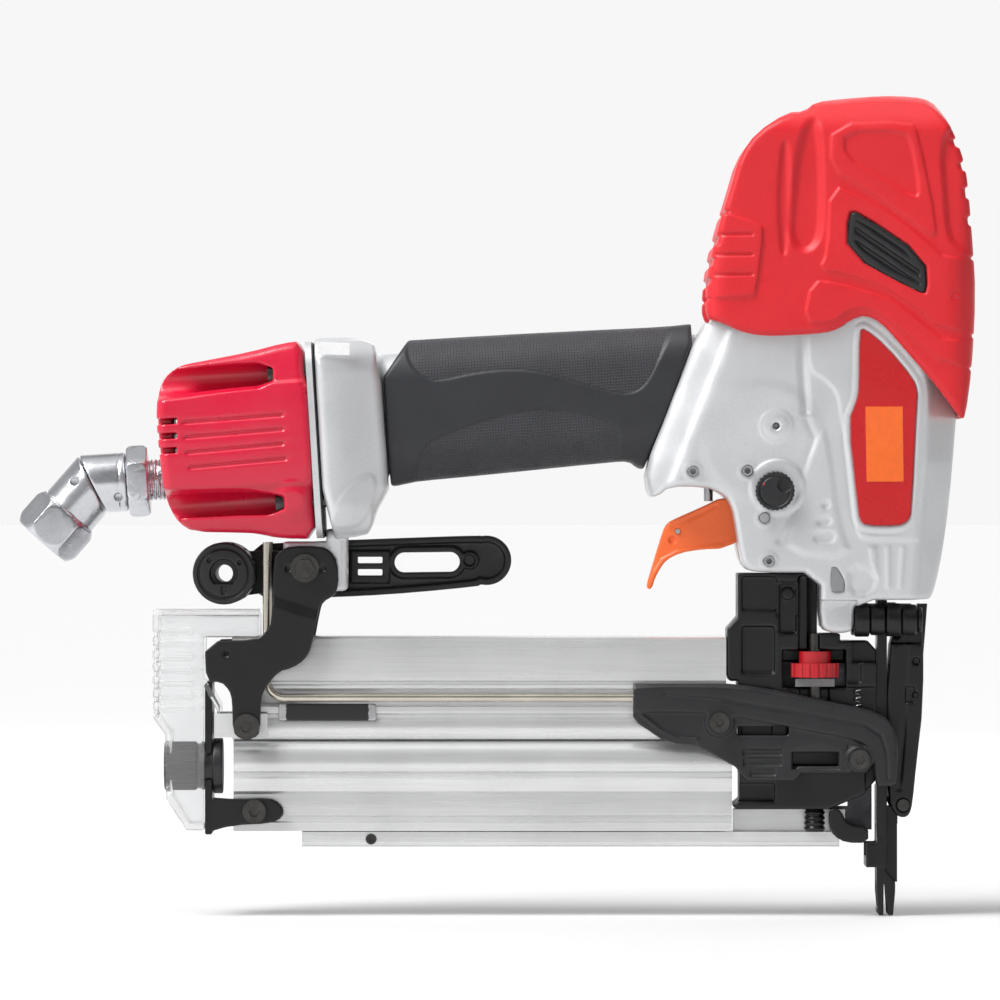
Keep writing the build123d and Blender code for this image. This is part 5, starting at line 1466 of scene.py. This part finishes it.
def make_magazine():
    """The fixed rail and the sliding cover, with the steps and grooves of their extrusions."""
    rail = run_mesh("rail_extrusion", RAIL_NEAR + RAIL_FAR, -216, -52.6)
    punch(rail, (-230, 4.5, 34), (-40, 9.5, 54))
    punch(rail, (-230, 4.5, 60), (-40, 9.5, 80))
    stand_in(rail, "magazine_rail", EXTRUSION)
    cover = run_mesh("cover_extrusion", COVER_NEAR, -215.5, -50.6)
    punch(cover, (-230, -10.6, 43.6), (-40, -4.4, 54.8))
    stand_in(cover, "magazine_cover", EXTRUSION)
    grid = Grid((-201, -13.2, 64.2), (-167.9, -11.8, 70.8), 0.2 * FINE)
    outline = meet(between(grid.x, -200.6, -168.3), between(grid.z, 64.7, 70.3), 0.8)
    strip = meet(outline, between(grid.y, -12.9, -12.05), 0.25)
    piece = sculpt("wear_strip_pad", strip, grid, 0.4)
    finish_piece(piece, "housing", [BLACK, STEEL], ["wear_strip"])
    paint_faces(piece, 1, lambda px, py, pz: (np.abs(px + 184.5) > 13.6) & (py < -12.6))


make_magazine()


def make_window():
    """The clear rear window, with steps down its back and a ribbed bend at the top."""
    outline = [(-242.2, 101.4), (-207, 101.4), (-207, 92.2), (-225.2, 92.2), (-225.2, 28.4), (-231, 28.4),
               (-234, 33), (-237.8, 39), (-238, 60), (-242, 65.5), (-242.2, 70)]
    inside = [(-240.4, 99.6), (-200, 99.6), (-200, 90), (-220, 90), (-220, 30.4), (-230.2, 30.4),
              (-232.6, 34), (-236.1, 40), (-236.3, 60.5), (-240.2, 66), (-240.4, 70)]
    grid = Grid((-242.6, -15, 28.2), (-206.6, 15, 101.8), 0.5 * FINE)
    x, y, z = grid.x, np.abs(grid.y), grid.z
    shell = meet(outline_field(x, z, outline), y - 14.7, 1.2)
    hollow = meet(outline_field(x, z, inside), y - 13, 0.8)
    shell = carve(shell, hollow)
    for index in range(7):
        low = 66.5 + index * 4.3
        shell = cut(shell, all_of(low - z, z - low - 1.6, x + 239.5, 6 - y), 0.3)
        rib = all_of(low + 1.5 - z, z - low - 3.3, x + 229.5, 12.6 - y)
        shell = any_of(shell, all_of(rib, y - 14.9, -240.4 - x))
    crease = np.abs((x + 233) * 0.55 + (z - 92) * 0.3) - 0.5
    shell = any_of(shell, all_of(crease, between(y, 13.4, 14.9), outline_field(x, z, inside)))
    knob = disc(grid.y, z, LATCH_KNOB, LATCH_KNOB_ROOM)
    shell = carve(shell, all_of(knob, x + 229))
    piece = sculpt("window_shell", shell, grid, 0.35)
    stand_in(piece, "magazine_window", CLEAR)


def make_latch_knob():
    """The turned rear knob, with grooves and a flange."""
    grid = Grid((-239, -14, 40), (-219, 5, 59), 0.3 * FINE)
    x = grid.x
    a, b = grid.y - LATCH_KNOB[0], grid.z - LATCH_KNOB[1]
    r = np.sqrt(a * a + b * b)
    barrel = 7.9 + 0.25 * np.cos(np.arctan2(b, a) * 30) * (x < -228)
    barrel = barrel - rise(np.abs(x + 227.4) - 0.3, 0.7, 0.6)
    knob = meet(r - barrel, between(x, -238.6, -222), 0.6)
    knob = any_of(knob, meet(r - 9.2, between(x, -222.4, -219.2), 0.4))
    knob = carve(knob, all_of(r - 5.5, x + 229))
    stand_in(sculpt("knob_barrel", knob, grid, 0.4), "latch_knob", BLACK)


make_window()
make_latch_knob()


# ---- rear brackets, end plate, hook --------------------------------------------------------------
BRACKET_OUTLINE = [
    (-202.2, 117.8), (-200.1, 120.9), (-196.7, 122.4), (-186.5, 122.4), (-183.2, 120.8), (-180.9, 116.8),
    (-180.7, 108.9), (-182.5, 105.8), (-186.5, 103.6), (-187.5, 100.7), (-189.6, 89.1), (-191.6, 85.1),
    (-195.7, 82.2), (-200.6, 80.9), (-204.7, 75.9), (-206.4, 71.9), (-206.5, 61), (-208.5, 58.8),
    (-213.3, 58.8), (-215.6, 61), (-215.8, 71.4), (-216.8, 74.9), (-219.5, 77.6), (-224.4, 77.4),
    (-224.9, 91), (-207.7, 91.4), (-204.7, 94.1), (-202.7, 97.2),
]
HOOK_LOBE = [
    (-195, 108), (-216, 105.2), (-221, 105.2), (-226, 109), (-226, 118), (-221, 120.6), (-195, 120.6),
]


def make_brackets():
    """The pressed steel brackets that carry the magazine's rear end, with a joggle near the bolt."""
    grid = Grid((-225.4, -17.9, 58.5), (-180.4, -14.8, 122.8), 0.3 * FINE)
    x, y, z = grid.x, grid.y, grid.z
    outline = outline_field(x, z, BRACKET_OUTLINE, 1)
    bend = np.clip((z + 0.32 * (x + 194) - 99.5) / 4.0, 0, 1)
    front = 17.55 - 0.9 * bend * bend * (3 - 2 * bend)
    plate = meet(meet(outline, -y - front, 0.45), y + front - 1.9, 0.3)
    web = all_of(outline + 0.4, -y - front + 0.5, y + 15.15)
    shape = any_of(plate, web)
    dimples = any_of(disc(x, z, (-197.1, 115), 1.1), disc(x, z, (-186, 115), 1.1))
    shape = cut(shape, all_of(dimples, y + 16.2), 0.3)
    for centre, radius in BRACKET_HOLES:
        shape = carve(shape, disc(x, z, centre, radius) + 0 * y)
    shape = cut(shape, disc(x, z, (-217.9, 86.8), 1.0) + 0 * y, 0.25)
    near = sculpt("near_bracket", shape, grid, 0.4)
    grid = Grid((-226.4, -17.9, 58.5), (-180.4, -14.8, 122.8), 0.3 * FINE)
    x, y, z = grid.x, grid.y, grid.z
    outline = any_of(outline_field(x, z, BRACKET_OUTLINE, 1), outline_field(x, z, HOOK_LOBE, 1))
    shape = meet(outline, between(y, -17.55, -15.15), 0.4)
    for centre, radius in (*BRACKET_HOLES, (HOOK_HUB, 3.1)):
        shape = carve(shape, disc(x, z, centre, radius) + 0 * y)
    far = flip(sculpt("far_bracket", shape, grid, 0.4))
    for piece in (near, far):
        stand_in(piece, "rear_brackets", BLACK_STEEL_AND_SHADE)


HOOK_ARM = [
    (-213, 122.6), (-190, 123.8), (-160, 124.9), (-140, 125.6), (-131.5, 125.7), (-131.9, 117.4),
    (-131, 109.2), (-145, 107.6), (-165, 105.9), (-183, 105), (-213, 104.4),
]


def make_hook():
    """The plastic hook arm, with its raised rim and slots, and the barrel it turns with."""
    grid = Grid((-229.6, 20.6, 102.6), (-122.9, 26.2, 126), 0.36 * FINE)
    x, y, z = grid.x, grid.y, grid.z
    hub = disc(x, z, HOOK_HUB, 10.3)
    outline = any_of(outline_field(x, z, HOOK_ARM, 1), hub, disc(x, z, HOOK_END, 8.3))
    slot = np.abs(z - 116.8 - 0.012 * (x + 151))
    slot = np.sqrt(np.maximum(np.abs(x + 151.8) - 7.6, 0) ** 2 + slot * slot) - 3.3
    inset = outline + 2.2
    keep_out = any_of(slot - 2.0, hub - 0.5, disc(x, z, HOOK_BUTTON, 3.0))
    spine = all_of(np.abs(x + 171) - 6.6, np.abs(z - 115.2) - 5.4)
    field = all_of(inset, -keep_out, -spine)
    low_face = 20.9 + rise(field, 1.0, 0.8)
    low_face = low_face + rise(disc(x, z, HOOK_BUTTON, 1.9), 0.8, 0.5)
    shape = meet(outline, between(y, low_face, 25.9), 0.7)
    shape = cut(shape, slot + 0 * y, 0.4)
    for level in (117.5, 113.4):
        window = all_of(np.abs(x + 170.9) - 4.1, np.abs(z - level) - 1.05)
        shape = cut(shape, window + 0 * y, 0.25)
    shape = carve(shape, disc(x, z, HOOK_HUB, 3.0) + 0 * y)
    stand_in(sculpt("hook_plate", shape, grid, 0.35), "hook_arm", BLACK)
    grid = Grid((-229.6, -11.3, 102.5), (-208, 15, 124.1), 0.34 * FINE)
    x, y, z = grid.x, grid.y, grid.z
    a, b = x - HOOK_HUB[0], z - HOOK_HUB[1]
    r = np.sqrt(a * a + b * b)
    ribs = rise(np.abs(np.sin(np.arctan2(b, a) * 7)) - 0.35, 0.5, 0.3) * (y > -7.5)
    barrel = meet(r - 10.3 + ribs, between(y, -11, 14.5), 0.6)
    barrel = cut(barrel, all_of(np.abs(r - 8.3) - 0.35, y + 10.4), 0.2)
    hole = all_of(r - 4.6, -b - 3.4)
    barrel = cut(barrel, all_of(hole, y + 7.2), 0.4)
    key = all_of(np.abs(a) - 0.8, np.abs(b + 5.6) - 1.4, y + 10.2)
    barrel = cut(barrel, key, 0.2)
    for turn in (0.6, 2.4):
        notch = all_of(disc(a, b, (6.4 * math.cos(turn), 6.4 * math.sin(turn)), 0.7), y + 10.2)
        barrel = cut(barrel, notch, 0.2)
    barrel = carve(barrel, r - 2.9 + 0 * y)
    piece = sculpt("hook_barrel", barrel, grid, 0.4)
    stand_in(piece, "hook_hub", BLACK)


def make_end_plate():
    """The magazine's end plate, with a bent lug for its screw."""
    grid = Grid((-225.3, -12.3, 26.7), (-198.6, 12.3, 77.8), 0.34 * FINE)
    x, y, z = grid.x, grid.y, grid.z
    plate = meet(between(x, -225, -222.6), all_of(np.abs(y) - 12, between(z, 27, 77.5)), 0.5)
    outline = [(-225, 39.4), (-214, 38.6), (-207, 39), (-202, 38.6), (-199, 36), (-199.2, 32.6),
               (-203, 30.6), (-216, 30), (-225, 27.4)]
    lug = meet(outline_field(x, z, outline, 1), between(y, -12, -9.35), 0.5)
    shape = any_of(plate, lug)
    knob = disc(y, z, LATCH_KNOB, LATCH_KNOB_ROOM)
    shape = carve(shape, all_of(knob, x + 221))
    shape = carve(shape, all_of(disc(x, z, (-208.6, 34.6), 2.55), -13 - y))
    stand_in(sculpt("end_plate_bent", shape, grid, 0.4), "magazine_end_plate", BLACK_STEEL_AND_SHADE)


make_brackets()
make_hook()
make_end_plate()


# ---- small parts ---------------------------------------------------------------------------------
def make_vents():
    """The black exhaust inserts, each with three slanted grooves."""
    grid = Grid((-13.8, -32.2, 205), (13.4, -29.1, 232.6), 0.26 * FINE)
    x, y, z = grid.x, grid.y, grid.z
    outline = outline_field(x, z, VENT_OUTLINE, 1) + 0.25
    face = 31.3 + 0 * x * z
    for shift in (-4.2, 0, 4.2):
        groove = np.abs((z - 219 - shift) * 0.83 + x * 0.56) - 0.75
        face = face - rise(all_of(groove, outline + 2.0), 0.9, 0.7)
    face = face + 0.7 * np.clip((z - 219) / 13, -0.3, 1)
    insert = meet(outline, all_of(-y - face, y + 29.3), 0.6)
    near = sculpt("near_vent", insert, grid, 0.4)
    far = flip(sculpt("far_vent", insert, grid, 0.4))
    for piece in (near, far):
        stand_in(piece, "vent_inserts", BLACK)


make_vents()
make_sticker()


# ---- springs -------------------------------------------------------------------------------------
def make_spring(node, centre, low, high, radius, wire, turns, joint, travel):
    """A coiled spring of fixed length between two levels, in millimetres; the joint and travel arguments
    are not used.
    """
    steps, sides = int(turns * 28), 8
    along = np.linspace(0, 1, steps + 1)
    turn = along * turns * 2 * math.pi
    around = np.arange(sides) * 2 * math.pi / sides
    reach = radius + wire * np.cos(around)
    points = np.stack([centre[0] + reach * np.cos(turn)[:, None], centre[1] + reach * np.sin(turn)[:, None],
                       (low + wire + (high - low - 2 * wire) * along)[:, None] + wire * np.sin(around)],
                      axis=2)
    faces = [range(sides)[::-1], range(steps * sides, (steps + 1) * sides)]
    for ring in range(steps):
        start = ring * sides
        faces += [(start + k, start + (k + 1) % sides, start + sides + (k + 1) % sides, start + sides + k)
                  for k in range(sides)]
    piece = shade(mesh_piece(node + "_coil", points.reshape(-1, 3), faces), 60)
    finish_piece(piece, node_body[node], [STEEL], [node])
    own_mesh(piece)


def spring_box(node):
    """A spring's middle in X and Y, and its lowest and highest levels, in millimetres."""
    low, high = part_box(node)
    middle = [(a + b) / 2 / MM for a, b in zip(low, high)]
    return middle[:2], low[2] / MM, high[2] / MM


for node, radius, wire, turns, joint, travel in (("head_valve_spring", 9, 0.7, 2.5, "head_valve_lift", 4),
                                                 ("valve_spring", 2.2, 0.35, 4, "valve_stem_push", 3.1),
                                                 ("contact_spring", 1.1, 0.3, 6, "contact_press", 8)):
    make_spring(node, *spring_box(node), radius, wire, turns, joint, travel)
